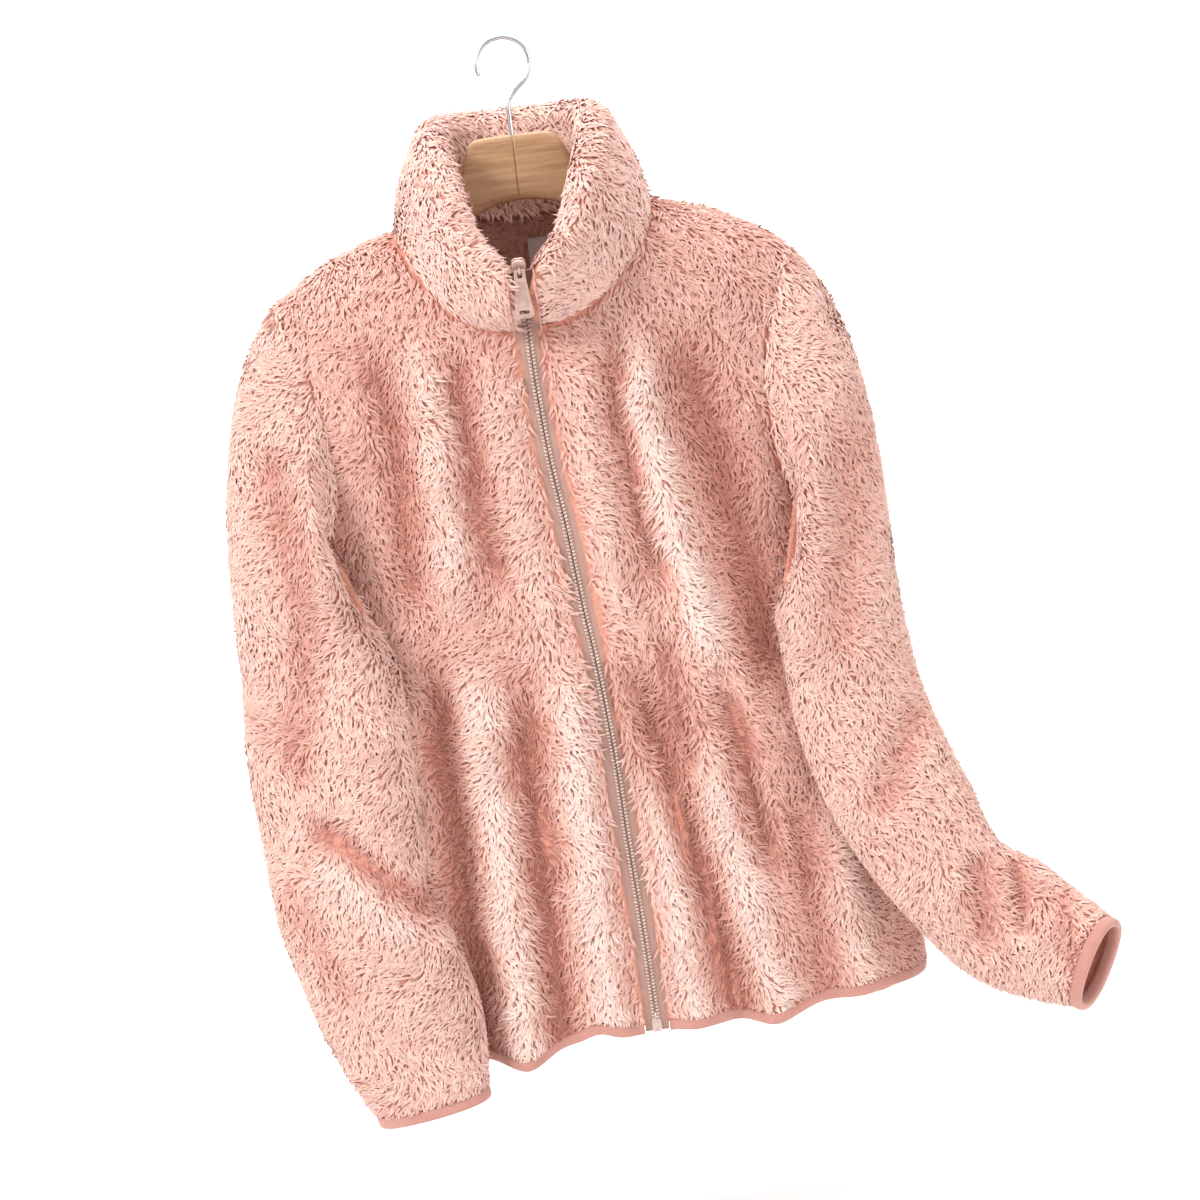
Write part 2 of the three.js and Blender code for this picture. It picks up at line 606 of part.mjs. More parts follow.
// The armhole's end of a sleeve, seamGap outside the panels' edge.
function sleeveSeam(side, column) {
  const share = upShare(columnRow(column));
  const point = armholePoint(side, columnFace(column), share);
  if (share <= 0) point[1] = seamY(underarmZ);
  return add(point, [side, 0, 0], 1.5 * seamGap);
}

// A sleeve from armhole to cuff. Its cap leaves the armhole outwards and bends down into the tube.
// The ways in which it leaves and arrives are as long as the cap is full.
const capOut = { least: 93, more: 107 };
const capForward = { front: 70, back: 10 };
const capUp = { middle: -110, inner: 90 };
const capArrive = { outer: 200, innerLess: 130 };
const passOver = { haste: 3, from: 0.35 }; // how soon the inner half comes forward, then goes down
function sleevePoint(side, table, folds, column, ring) {
  const angle = (column / sleeveColumns) * 2 * Math.PI;
  const last = table.length - 1;
  let point;
  if (ring < capRings) {
    const t = ring / capRings;
    const start = sleeveSeam(side, column);
    const end = tubePoint(side, table, 0, angle, 0);
    // The inner half comes forward out of the armhole before it goes down over the front.
    const inner = Math.max(0, -Math.cos(angle));
    const early = ease(t * mix(1, passOver.haste, inner));
    const late = ease((t - passOver.from * inner) / (1 - passOver.from * inner));
    const outward = capOut.least + capOut.more * Math.max(0, Math.cos(angle));
    const forward = -capForward.front * Math.max(0, Math.sin(angle)) -
      capForward.back * Math.min(0, Math.sin(angle));
    const leave = [side * outward, forward, capUp.middle - capUp.inner * Math.cos(angle)];
    const arrive = sleeveFrame(side, table, 0).along
      .map((value) => value * (capArrive.outer - capArrive.innerLess * inner));
    const passY = mix(end[1], underarmPassY, inner);
    const y = mix(mix(start[1], passY, early), end[1], late);
    point = [mix(start[0], end[0], late), y, mix(start[2], end[2], late)];
    point = add(point, leave, t * (1 - t) * (1 - t));
    point = add(point, arrive, -t * t * (1 - t));
  } else {
    point = tubePoint(side, table, ((ring - capRings) / tubeRings) * last, angle, 0);
  }
  const facing = Math.sin(angle);
  const frame = sleeveFrame(side, table, Math.max(0, ((ring - capRings) / tubeRings) * last));
  const fade = ease(ring / 3) * ease((capRings + tubeRings - ring) / 3);
  const rise = sleeveRise(folds, point[0], point[2], facing) * fade;
  point = add(point, frame.front, rise * Math.sign(facing));
  return ring === 0 ? point : inFrontOfBody(side, point);
}

// Keeps a sleeve's point clear of the front, which it lies against.
const sideClearance = 3.5;
const armholeClearance = 6.5;
const belowHem = 45; // a sleeve hangs free of the body from this far below the hem
function inFrontOfBody(side, point) {
  const [x, y, z] = point;
  const level = Math.max(z, hemZ);
  const edge = z > underarmZ
    ? read(armhole, "a", "frontX", (z - underarmZ) / (shoulderTip.z - underarmZ)) + armholeClearance
    : side * sideX(side, level) + sideClearance;
  if (side * x > edge || z < hemZ - belowHem) return point;
  return [x, Math.min(y, bodyY(-1, x, level, sideClearance) - sleeveBodyGap), z];
}

function sleeveGrids(side, table, folds) {
  const grid = gridOf(sleeveColumns, capRings + tubeRings, (i, j) =>
    sleevePoint(side, table, folds, i, j));
  const normals = smoothAround(smoothAround(normalsOf(grid, true, side)));
  const inner = innerOf(grid, normals, (i, j) =>
    j === 0 ? armholeInward(armholeTurn(columnFace(i), upShare(columnRow(i)))) : null);
  return { grid, inner };
}

function makeSleeve(side, table, folds, name) {
  const { grid, inner } = sleeveGrids(side, table, folds);
  return solidBetween(grid, inner, true, fleece, name);
}

// A round-cornered strip section: centre, way across its thickness, and way across its height.
function bindingSection(centre, thick, tall) {
  const corners = [[-1, -0.6], [-0.6, -1], [0.6, -1], [1, -0.6], [1, 0.6], [0.6, 1], [-0.6, 1], [-1, 0.6]];
  return corners.map(([a, b]) =>
    add(add(centre, thick, (a * bindingThickness) / 2), tall, (b * bindingHeight) / 2));
}

// The stretchy binding round a cuff, which carries the last ring of the sleeve on.
function makeCuffBinding(side, table, folds, name) {
  const { grid, inner } = sleeveGrids(side, table, folds);
  const end = capRings + tubeRings;
  const { along } = sleeveFrame(side, table, table.length - 1);
  const sections = [];
  for (let i = 0; i < sleeveColumns; i += 1) {
    const middle = mixPoints(grid[i][end], inner[i][end], 0.5);
    const thick = unit(add(grid[i][end], inner[i][end], -1));
    sections.push(bindingSection(add(middle, along, bindingHeight / 2 + 3 * seamGap), thick, along));
  }
  return solidAlong(sections, true, bindingCloth, name);
}

// The hem's binding runs on under the left front, the back and the right front.
function makeHemBinding() {
  const panels = [frontGrids(1), backGrids(), frontGrids(-1)];
  const lines = panels.map(({ grid, inner }) => grid.map((line, i) => [line[0], inner[i][0]]));
  lines[1].reverse();
  lines[2].reverse();
  const sections = lines.flatMap((line, k) => (k === 1 ? line.slice(1, -1) : line)).map(([outer, inner]) => {
    const centre = add(mixPoints(outer, inner, 0.5), [0, 0, -1], bindingHeight / 2 + 3 * seamGap);
    return bindingSection(centre, unit(add(outer, inner, -1)), [0, 0, 1]);
  });
  return solidAlong(sections, false, bindingCloth, "hem_binding");
}

// The collar: a thick folded band whose sections stand on the neck seam and roll over at the top.
const collarBulge = 5; // of its outer face
const collarRows = { outside: [0, 0.3, 0.65], roll: 6, inside: [0.4, 0.75, 1] };
const collarLift = { front: 2 * seamGap, back: 7 * seamGap, inside: 1.5 }; // off the neck seam
function collarSection(side, station) {
  const [x, z] = neckPosition(side, station);
  const face = station <= sideStation ? -1 : 1;
  const y = Math.abs(station - sideStation) < 0.01 ? 0 : bodyY(face, x, z);
  const shift = zipX(neckFrontZ) * ease(1 - station / sideStation);
  const atZip = side * (zipHalfWidth + seamGap) * Math.max(0, 1 - station);
  const roll = [
    shift + atZip + side * readRow(rollRing, "x", station),
    readRow(rollRing, "y", station),
    readRow(rollRing, "z", station),
  ];
  const inwards = neckInward(side, station);
  const offSeam = unit(add([0, 0, 1], inwards, -inwards[2]));
  const lift = station > sideStation - 0.5 ? collarLift.back : collarLift.front;
  const base = add([x, y, z], offSeam, lift);
  const innerBase = add(add(base, inwards, collarBaseThickness), offSeam, collarLift.inside);
  const up = unit(add(roll, mixPoints(base, innerBase, 0.5), -1));
  const level = unit([inwards[0], inwards[1], 0]);
  const inward = station < 0.01 ? unit([0, up[2], -up[1]]) : unit(add(level, up, -dot(level, up)));
  const outerTop = add(roll, inward, -collarRollRadius);
  const innerTop = add(roll, inward, collarRollRadius);
  const points = [];
  for (const share of collarRows.outside) {
    const bulge = -collarBulge * Math.sin(share * Math.PI);
    points.push(add(mixPoints(base, outerTop, share), inward, bulge));
  }
  for (let k = 0; k <= collarRows.roll; k += 1) {
    const angle = (k / collarRows.roll) * Math.PI;
    points.push(add(
      add(roll, inward, -collarRollRadius * Math.cos(angle)), up, collarRollRadius * Math.sin(angle),
    ));
  }
  for (const share of collarRows.inside) points.push(mixPoints(innerTop, innerBase, share));
  return points;
}

// Its sections stand where the panels have their vertices on the neck seam.
function makeCollar() {
  const stations = [];
  for (let row = neckRow; row <= panelRows; row += 1) stations.push(neckStation(row));
  for (let i = 1; i <= backNeckColumns; i += 1)
    stations.push(sideStation + ((backStation - sideStation) * i) / backNeckColumns);
  const half = (side) => stations.map((station) => collarSection(side, station));
  const sections = [...half(1), ...half(-1).reverse().slice(1)];
  return solidAlong(sections, false, fleece, "collar");
}

// The zip's middle line, with its outward direction: down the front and up the leaning collar.
const collarLean = { top: -90, from: neckFrontZ };
function zipFrame(z) {
  const depth = (at) => {
    if (at <= collarLean.from) return bodyY(-1, zipX(at), at);
    const share = (at - collarLean.from) / (zipTopZ - collarLean.from);
    return mix(bodyY(-1, zipX(collarLean.from), collarLean.from), collarLean.top, share);
  };
  const step = 6;
  const way = unit([zipX(z + step) - zipX(z - step), depth(z + step) - depth(z - step), 2 * step]);
  const out = unit([0, -way[2], way[1]]);
  return { point: [zipX(z), depth(z), z], way, out };
}

// A flat strip of the zip, from one distance to another beside its middle line.
function zipStrip(from, to, inset, thickness, lowZ, highZ, steps, material, name) {
  const sections = [];
  for (let i = 0; i <= steps; i += 1) {
    const { point, out } = zipFrame(mix(lowZ, highZ, i / steps));
    const corner = (x, depth) => add(add(point, out, -depth), [1, 0, 0], x);
    sections.push([
      corner(from, inset), corner(to, inset), corner(to, inset + thickness), corner(from, inset + thickness),
    ]);
  }
  return solidAlong(sections, false, material, name);
}

// The teeth stand out of the tapes, and start above the box.
const zipSteps = 40;
const teethStand = 0.6;
const tapeAboveHem = 1;
const teethAboveHem = 10.2;
const makeTeeth = () => zipStrip(
  -teethHalfWidth, teethHalfWidth, zipInset - teethStand, teethThickness,
  hemZ + teethAboveHem, zipTopZ, zipSteps, teethPlastic, "zip_teeth",
);

function makeTape(side, name) {
  const edges = [side * (teethHalfWidth + seamGap), side * zipHalfWidth].sort((a, b) => a - b);
  return zipStrip(
    ...edges, zipInset, tapeThickness, hemZ + tapeAboveHem, zipTopZ, zipSteps, tapeCloth, name,
  );
}

// Slider and pull. The pull's bar turns in the slider's eye, whose middle is the pivot.
const sliderLength = 11;
const sliderHalfWidth = 4.6;
const sliderEnds = { lower: 3.4, upper: 3, shoulder: 3.5 }; // half widths, and where it narrows
const sliderThickness = 4.4;
const sliderDepth = 2.4; // of its middle behind the zip's face
const eyeHeight = 3.4; // of the pivot before the zip's face
const eyeFoot = { tall: 3.6, deep: 2.6, behind: 2.9 };
const eyeRadius = 2.8;
const eyeHole = 1.3;
const eyeHalfWidth = 1.5;
const barRadius = 0.8;
const pullLength = 33;
const pullThickness = 1.8;
const zipEnd = zipFrame(zipTopZ);
const sliderFrame = { ...zipEnd, point: add(zipEnd.point, zipEnd.way, sliderLength / 2 + seamGap) };
const pivot = add(sliderFrame.point, sliderFrame.out, eyeHeight);

const wasm = await Module();
wasm.setup();

// three.js geometry as a solid, and back.
function solidOf(mesh) {
  mesh.updateMatrixWorld(true);
  const position = mesh.geometry.getAttribute("position").clone().applyMatrix4(mesh.matrixWorld);
  const index = mesh.geometry.index?.array ?? Array.from({ length: position.count }, (_, i) => i);
  const made = new wasm.Mesh({
    numProp: 3, vertProperties: new Float32Array(position.array), triVerts: new Uint32Array(index),
  });
  made.merge();
  return new wasm.Manifold(made);
}

function meshFrom(solid, material, name) {
  const { vertProperties, triVerts } = solid.getMesh();
  return meshOf(Array.from(vertProperties), Array.from(triVerts), material, name);
}

// An outline with optional holes, extruded symmetrically along local Z.
function plate(outline, holes, thickness) {
  const shape = new THREE.Shape(outline.map(([x, y]) => new THREE.Vector2(x, y)));
  for (const hole of holes) shape.holes.push(new THREE.Path(hole.map(([x, y]) => new THREE.Vector2(x, y))));
  const geometry = new THREE.ExtrudeGeometry(shape, { depth: thickness, bevelEnabled: false });
  geometry.translate(0, 0, -thickness / 2);
  return new THREE.Mesh(geometry);
}

const circle = (radius, count) =>
  Array.from({ length: count }, (_, i) => {
    const angle = (2 * Math.PI * i) / count;
    return [radius * Math.cos(angle), radius * Math.sin(angle)];
  });

function makeSlider() {
  const { point, way, out } = sliderFrame;
  const frame = new THREE.Matrix4().makeBasis(
    new THREE.Vector3(1, 0, 0), new THREE.Vector3(...way), new THREE.Vector3(...out),
  );
  const place = (mesh, at) => {
    mesh.applyMatrix4(frame);
    mesh.position.set(...at);
    return solidOf(mesh);
  };
  // The body narrows upwards, where the two rows of teeth part round it.
  const base = place(plate([
    [-sliderEnds.lower, -sliderLength / 2], [sliderEnds.lower, -sliderLength / 2],
    [sliderHalfWidth, 0], [sliderHalfWidth, sliderEnds.shoulder],
    [sliderEnds.upper, sliderLength / 2], [-sliderEnds.upper, sliderLength / 2],
    [-sliderHalfWidth, sliderEnds.shoulder], [-sliderHalfWidth, 0],
  ], [], sliderThickness), add(point, out, -sliderDepth));
  const eye = plate(circle(eyeRadius, 16), [circle(eyeHole, 12)], 2 * eyeHalfWidth);
  eye.rotateY(Math.PI / 2);
  const ring = place(eye, pivot);
  const foot = new THREE.Mesh(new THREE.BoxGeometry(2 * eyeHalfWidth, eyeFoot.tall, eyeFoot.deep));
  const root = place(foot, add(pivot, out, -eyeFoot.behind));
  return meshFrom(base.add(ring.add(root)), coatedMetal, "zip_slider");
}

// The tab hangs straight down from the pivot, widening to a slotted end.
const pullWidths = { top: 3.6, waist: 4, foot: 6.6, end: 5.2 }; // half widths
const pullHeights = { top: 1.2, waist: -8, foot: -pullLength + 1.5 };
const eyeOpening = { halfWidth: 2.1, top: -0.8, bottom: -5.2 };
const pullSlot = { top: 3.8, bottom: 4, topZ: -pullLength + 5.5, bottomZ: -pullLength + 2.6 };
const pullBar = { length: 6.6, clearWidth: 9, clearDepth: 4, clearHeight: 2.4 };
function makePull() {
  const mirrored = (half) => [...half, ...half.map(([x, z]) => [-x, z]).reverse()];
  const outline = mirrored([
    [pullWidths.end, -pullLength], [pullWidths.foot, pullHeights.foot],
    [pullWidths.waist, pullHeights.waist], [pullWidths.top, pullHeights.top],
  ]);
  const opening = mirrored([
    [eyeOpening.halfWidth, eyeOpening.top], [eyeOpening.halfWidth, eyeOpening.bottom],
  ]);
  const slot = mirrored([[pullSlot.top, pullSlot.topZ], [pullSlot.bottom, pullSlot.bottomZ]]);
  const tab = plate(outline, [opening, slot], pullThickness);
  tab.rotateX(Math.PI / 2);
  tab.position.set(...pivot);
  const { clearWidth, clearDepth, clearHeight } = pullBar;
  const upper = new THREE.Mesh(new THREE.BoxGeometry(clearWidth, clearDepth, clearHeight));
  upper.position.set(pivot[0], pivot[1], pivot[2] + clearHeight / 2);
  const bar = new THREE.Mesh(new THREE.CylinderGeometry(barRadius, barRadius, pullBar.length, 10));
  bar.rotateZ(Math.PI / 2);
  bar.position.set(...pivot);
  return meshFrom(solidOf(tab).subtract(solidOf(upper)).add(solidOf(bar)), coatedMetal, "zip_pull");
}

// The box and pin that hold the two tapes together at the hem, between their ends.
const zipBox = { height: 9, thickness: 3.6, aboveHem: 0.7, behind: 0.4 };
function makeZipBox() {
  const middle = hemZ + zipBox.height / 2 + zipBox.aboveHem;
  const { point } = zipFrame(middle);
  const box = new THREE.Mesh(
    new THREE.BoxGeometry(2 * teethHalfWidth, zipBox.thickness, zipBox.height),
  );
  box.position.set(point[0], point[1] + zipInset + zipBox.behind, middle);
  return meshFrom(solidOf(box), teethPlastic, "zip_box");
}

// Wooden hanger. Each half is a run of rounded sections along its arm, with the top edge just
// under the cloth.
const hangerThickness = 14;
const hangerTopZ = -69;
const hangerEndX = 178;
const clothOverWood = wallThickness + 0.6;
const clothOverArm = 1.08 * clothOverWood; // measured down, on a slope
const hangerNeck = [
  { x: 0.15, top: hangerTopZ },
  { x: 26, top: hangerTopZ - 0.6 },
  { x: 33, top: hangerTopZ - 4 },
  { x: 38, top: hangerTopZ - 13 },
  { x: 42, top: -93 },
  { x: 49, top: -110 },
  { x: 60, top: -129 },
  { x: 74, top: -141 },
];
const armHeight = { atNeck: 36, atEnd: 18, from: 90, over: 95 };
const neckUnderside = { z: -117, sag: 150 }; // a shallow curve under the neck
const hangerRound = [[3, 1.7], [5.6, 6.5], [hangerThickness / 2, 12]]; // half width and depth
const hangerUnder = { half: 4, up: 4 }; // of its chamfered underside
const armStations = [92, 108, 124, 140, 156, 168, hangerEndX - 3, hangerEndX];
const armEnd = { from: 150, drop: 4 };
const armStart = 5; // drop where the arm leaves the neck
const screwHole = { radius: 2, below: 10 };

function hangerSection(side, x, top) {
  const line = shoulderLine(Math.max(x, neckPoint.x), 0) - clothOverWood;
  const arm = ease((x - armHeight.from) / armHeight.over);
  const under = line - mix(armHeight.atNeck, armHeight.atEnd, arm);
  const bottom = Math.max(neckUnderside.z - (x * x) / neckUnderside.sag, under);
  const front = [
    ...hangerRound.map(([y, down]) => [y, top - down]),
    [hangerThickness / 2, bottom + hangerUnder.up],
    [hangerUnder.half, bottom],
  ];
  const profile = [[0, top], ...front, ...front.map(([y, z]) => [-y, z]).reverse()];
  return profile.map(([y, z]) => [side * x, y, z]);
}

function makeHangerHalf(side, name) {
  const sections = hangerNeck.map(({ x, top }) => hangerSection(side, x, top));
  for (const x of armStations) {
    const atEnd = armEnd.drop * ease((x - armEnd.from) / (hangerEndX - armEnd.from));
    const drop = x < neckPoint.x ? armStart : atEnd;
    const line = shoulderLine(Math.max(x, neckPoint.x), 0) - clothOverArm;
    sections.push(hangerSection(side, x, line - drop));
  }
  const half = solidAlong(sections, false, wood, name);
  const { radius, below } = screwHole;
  const hole = new THREE.Mesh(
    new THREE.CylinderGeometry(radius, radius, 2 * hangerThickness, 12),
  );
  hole.rotateX(Math.PI / 2);
  hole.position.set(0, 0, hangerTopZ - below);
  return meshFrom(solidOf(half).subtract(solidOf(hole)), wood, name);
}

// Steel hook: a straight stem in the wood, then a bend into a loop open on one side.
const hookWire = 1.7; // radius
const hookRadius = 18; // inside
const hookStem = [-82, -70, -58, -47];
const hookBend = { x: 3.5, z: -40.5 };
const hookLoop = { from: -42, to: 200, step: 16 }; // degrees
function makeHook() {
  const line = hookRadius + hookWire;
  const points = hookStem.map((z) => new THREE.Vector3(0, 0, z));
  points.push(new THREE.Vector3(hookBend.x, 0, hookBend.z));
  for (let degrees = hookLoop.from; degrees <= hookLoop.to; degrees += hookLoop.step) {
    const angle = (degrees * Math.PI) / 180;
    points.push(new THREE.Vector3(line * Math.cos(angle), 0, -hookRadius + line * Math.sin(angle)));
  }
  const path = new THREE.CatmullRomCurve3(points);
  const section = new THREE.Shape(circle(hookWire, 8).map(([x, y]) => new THREE.Vector2(x, y)));
  const geometry = new THREE.ExtrudeGeometry(section, { steps: 44, extrudePath: path, bevelEnabled: false });
  return meshFrom(solidOf(new THREE.Mesh(geometry)), steel, "hook");
}

// The label inside the back of the neck lies on the back's inner face.
const label = { fromX: 1, toX: 31, fromZ: -170, toZ: -146, off: 1.2, thickness: 1, steps: 4 };
function makeLabel() {
  const layer = (depth) => gridOf(label.steps, label.steps, (i, j) => {
    const x = mix(label.fromX, label.toX, i / label.steps);
    const z = mix(label.fromZ, label.toZ, j / label.steps);
    return [x, bodyY(1, x, z) - wallThickness - depth, z];
  });
  return solidBetween(layer(label.off), layer(label.off + label.thickness), false, labelCloth, "label");
}

const jacket = new THREE.Group();
jacket.add(
  makePanel(backGrids(), "back"),
  makePanel(frontGrids(1), "front_left"),
  makePanel(frontGrids(-1), "front_right"),
  makeSleeve(1, leftSleeve, leftSleeveFolds, "sleeve_left"),
  makeSleeve(-1, rightSleeve, rightSleeveFolds, "sleeve_right"),
  makeCollar(),
  makeHemBinding(),
  makeCuffBinding(1, leftSleeve, leftSleeveFolds, "cuff_binding_left"),
  makeCuffBinding(-1, rightSleeve, rightSleeveFolds, "cuff_binding_right"),
  makeLabel(),
);

const zip = new THREE.Group();
zip.add(
  makeTeeth(),
  makeTape(1, "zip_tape_left"),
  makeTape(-1, "zip_tape_right"),
  makeSlider(),
  makePull(),
  makeZipBox(),
);

const hanger = new THREE.Group();
hanger.add(makeHangerHalf(1, "hanger_left"), makeHangerHalf(-1, "hanger_right"), makeHook());

const part = new THREE.Group();
part.add(jacket, zip, hanger);

export default part;
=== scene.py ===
# %% [markdown]
# # A long-pile fleece jacket on a wooden hanger
# The imported model gives the jacket's solids: panels, sleeves, collar, zip and hanger. This script
# dresses them. Each cloth panel becomes a thin backing on the solid's own form, and thousands of
# small locks of pile stand on it. The solids stay underneath as the fixed frame.

import json

import bpy
import numpy as np
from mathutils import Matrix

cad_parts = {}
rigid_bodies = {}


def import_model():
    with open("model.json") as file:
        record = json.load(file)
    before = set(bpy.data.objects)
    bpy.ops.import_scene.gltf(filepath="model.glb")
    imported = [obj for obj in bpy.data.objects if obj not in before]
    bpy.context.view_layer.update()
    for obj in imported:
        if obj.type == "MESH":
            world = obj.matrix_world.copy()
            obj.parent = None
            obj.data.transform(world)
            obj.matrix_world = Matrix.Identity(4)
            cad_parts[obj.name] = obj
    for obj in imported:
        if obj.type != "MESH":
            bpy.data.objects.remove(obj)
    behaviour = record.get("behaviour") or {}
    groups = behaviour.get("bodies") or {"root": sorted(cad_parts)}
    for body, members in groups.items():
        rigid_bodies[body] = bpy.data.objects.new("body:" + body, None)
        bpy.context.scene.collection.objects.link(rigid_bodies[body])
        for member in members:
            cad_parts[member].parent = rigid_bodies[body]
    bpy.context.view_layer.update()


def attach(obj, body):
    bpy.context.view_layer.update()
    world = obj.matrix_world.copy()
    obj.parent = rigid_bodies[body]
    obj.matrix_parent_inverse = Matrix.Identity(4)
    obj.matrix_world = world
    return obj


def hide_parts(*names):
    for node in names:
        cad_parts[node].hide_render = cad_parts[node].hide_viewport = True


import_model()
JACKET = "jacket"
PULL = "pull"
METRES = 0.001  # every size below is in millimetres, with the origin inside the hook's top

# %% [markdown]
# The garment is worked out from the same named sizes as its solids. A table holds a few rows that a
# maker would measure: how wide and deep the body is at a height, or where a sleeve's middle runs.
# Between the rows a smooth cubic curve fills in, so a table of six rows gives a soft form.

# %% Driving sizes of the body
WALL = 8.0  # backing and pile of one layer of cloth
SEAM_GAP = 0.3
SHOULDER_TIP = {"x": 189.0, "z": -169.0}
NECK_POINT = {"x": 96.0, "z": -127.0}
SHOULDER_CAMBER = 6.0
SHOULDER_ROLL = 170.0
UNDERARM_Z = -392.0
HEM_Z = -750.0
NECK_FRONT_Z = -210.0
ZIP_TOP_Z = -169.0
ZIP_HALF = 9.2
BINDING_HEIGHT = 9.0
SECTION_POWER = 2.6
SLEEVE_POWER = 2.3
SLEEVE_BODY_GAP = 2.2

BODY = {
    "z": [-770, -640, -520, -392, -300, -167],
    "centre_x": [27, 22, 12, 2, 0, 0],
    "half_width": [216, 208, 199, 190, 201, 210],
    "front": [52, 54, 56, 57, 58, 56],
    "back": [38, 42, 45, 47, 48, 48],
    "side_y": [8, 8, 9, 9, 3, 0],
}
ZIP_LINE = {
    "z": [-752, -671, -602, -526, -456, -418, -357, -302, -249, -211, -150],
    "x": [24.3, 22.5, 19.7, 17.3, 12.4, 8.3, 3.4, -2.5, -5.4, -6, -6],
}
ARMHOLE = {
    "up": [0, 0.15, 0.3, 0.5, 0.7, 0.88, 1],
    "front_x": [189, 173, 163, 160, 167, 181, 189],
    "back_x": [189, 180, 174, 171, 174, 183, 189],
}
NECK_RING = {
    "x": [0, 31, 56, 75, 90, 96, 84, 58, 30, 0],
    "z": [NECK_FRONT_Z, -206, -192, -171, -148, -127, -121, -124, -128, -129],
}
ROLL_RING = {
    "x": [0, 22, 37, 46, 54, 60, 61, 51, 28, 0],
    "y": [-86, -82, -70, -53, -33, -10, 14, 34, 46, 49],
    "z": [-176, -164, -145, -118, -92, -73, -64, -61, -60, -60],
}

# %% [markdown]
# Folds are what makes cloth look soft. Each one is a line down the front or back with a height, a
# width and a slight bow. A positive rise is a ridge and a negative one a trough, both with the bell
# shape of a hanging fold.

# %% Folds and hem line
FOLD_COLUMNS = ("top_x", "top_z", "end_x", "end_z", "bow", "rise", "width")
FRONT_FOLDS = [
    (-34, -215, -20, -470, 0, 4, 15),
    (-62, -200, -48, -410, -2, -8, 12),
    (-90, -190, -84, -420, 4, 6, 15),
    (-122, -190, -122, -420, 8, -8, 13),
    (-12, -430, -10, -800, 0, 9, 16),
    (-43, -440, -46, -820, -4, -11, 13),
    (-78, -420, -76, -820, 0, 9, 17),
    (-108, -410, -112, -830, 4, -9, 15),
    (-140, -420, -142, -830, 0, 6, 16),
    (24, -215, 36, -450, -4, 4, 13),
    (56, -200, 76, -430, -10, -9, 11),
    (68, -200, 118, -530, -14, 11, 14),
    (98, -200, 144, -520, 6, -10, 19),
    (62, -430, 74, -560, 0, -6, 9),
    (96, -440, 126, -650, 0, -10, 10),
    (34, -440, 104, -830, 3, -11, 12),
    (40, -520, 62, -830, 0, 8, 15),
    (82, -510, 130, -830, 2, 8, 16),
    (146, -560, 160, -830, 0, -6, 14),
    (176, -560, 192, -830, 0, 6, 15),
]
BACK_FOLDS = [
    (-150, -300, -128, -820, 6, -7, 17),
    (-104, -230, -84, -820, -4, 7, 20),
    (-60, -210, -36, -830, 5, -8, 18),
    (-14, -240, 10, -820, 0, 6, 22),
    (40, -210, 62, -830, -6, -8, 17),
    (88, -230, 112, -820, 4, 7, 20),
    (138, -290, 164, -820, 0, -7, 17),
]
HEM_DIPS = {"x": [-78, -20, 112], "drop": [14, -8, 8], "width": [30, 16, 28]}
HEM_SLOPE = 0.04
BACK_HEM_DROP = 14.0
BACK_CORNER = {"x": 205.0, "drop": 16.0, "width": 26.0}


# %% Curves through the tables
def mix(low, high, share):
    """low at share 0, high at share 1."""
    return low + (high - low) * share


def ease(share):
    """A soft step from 0 to 1: three times the square less twice the cube."""
    t = np.clip(share, 0, 1)
    return t * t * (3 - 2 * t)


def read(keys, values, at):
    """Cubic through the rows of a table, with the slope at a row taken from its neighbours."""
    keys = np.asarray(keys, float)
    values = np.asarray(values, float)
    if keys[0] > keys[-1]:
        keys = keys[::-1]
        values = values[::-1]
    at = np.clip(at, keys[0], keys[-1])
    row = np.clip(np.searchsorted(keys, at) - 1, 0, len(keys) - 2)
    low = np.maximum(np.arange(len(keys)) - 1, 0)
    high = np.minimum(np.arange(len(keys)) + 1, len(keys) - 1)
    slope = (values[high] - values[low]) / (keys[high] - keys[low])
    span = keys[row + 1] - keys[row]
    t = (at - keys[row]) / span
    bend = slope[row] * t * (1 - t) ** 2 - slope[row + 1] * t * t * (1 - t)
    return mix(values[row], values[row + 1], ease(t)) + span * bend


def read_row(values, at):
    """The same, for a table that is read by its row number."""
    return read(np.arange(len(values)), values, at)


def unit(vectors):
    """Vectors of length one."""
    return vectors / np.maximum(np.linalg.norm(vectors, axis=-1, keepdims=True), 1e-9)


def points(x, y, z):
    """An array of points from arrays of coordinates."""
    return np.stack(np.broadcast_arrays(x, y, z), axis=-1).astype(float)


print("hem half width", float(read(BODY["z"], BODY["half_width"], HEM_Z)))

# %% [markdown]
# The body is a stack of level sections. Each is a superellipse, an oval with squarer shoulders, and
# near the top the section closes over the hanger's arm like the edge of a table cloth. Folds then
# push the surface in and out. The front and the back are this same surface with two depths.


# %% The body's surface
def zip_x(z):
    """x of the zip's middle at a height."""
    return read(ZIP_LINE["z"], ZIP_LINE["x"], z)


def side_x(side, z):
    """x of the body's side at a height."""
    centre = read(BODY["z"], BODY["centre_x"], z)
    return centre + side * read(BODY["z"], BODY["half_width"], z)


def seam_y(z):
    """y of the side seam, which comes to the middle at the shoulder."""
    return read(BODY["z"], BODY["side_y"], z) * ease((SHOULDER_TIP["z"] - z) / 60)


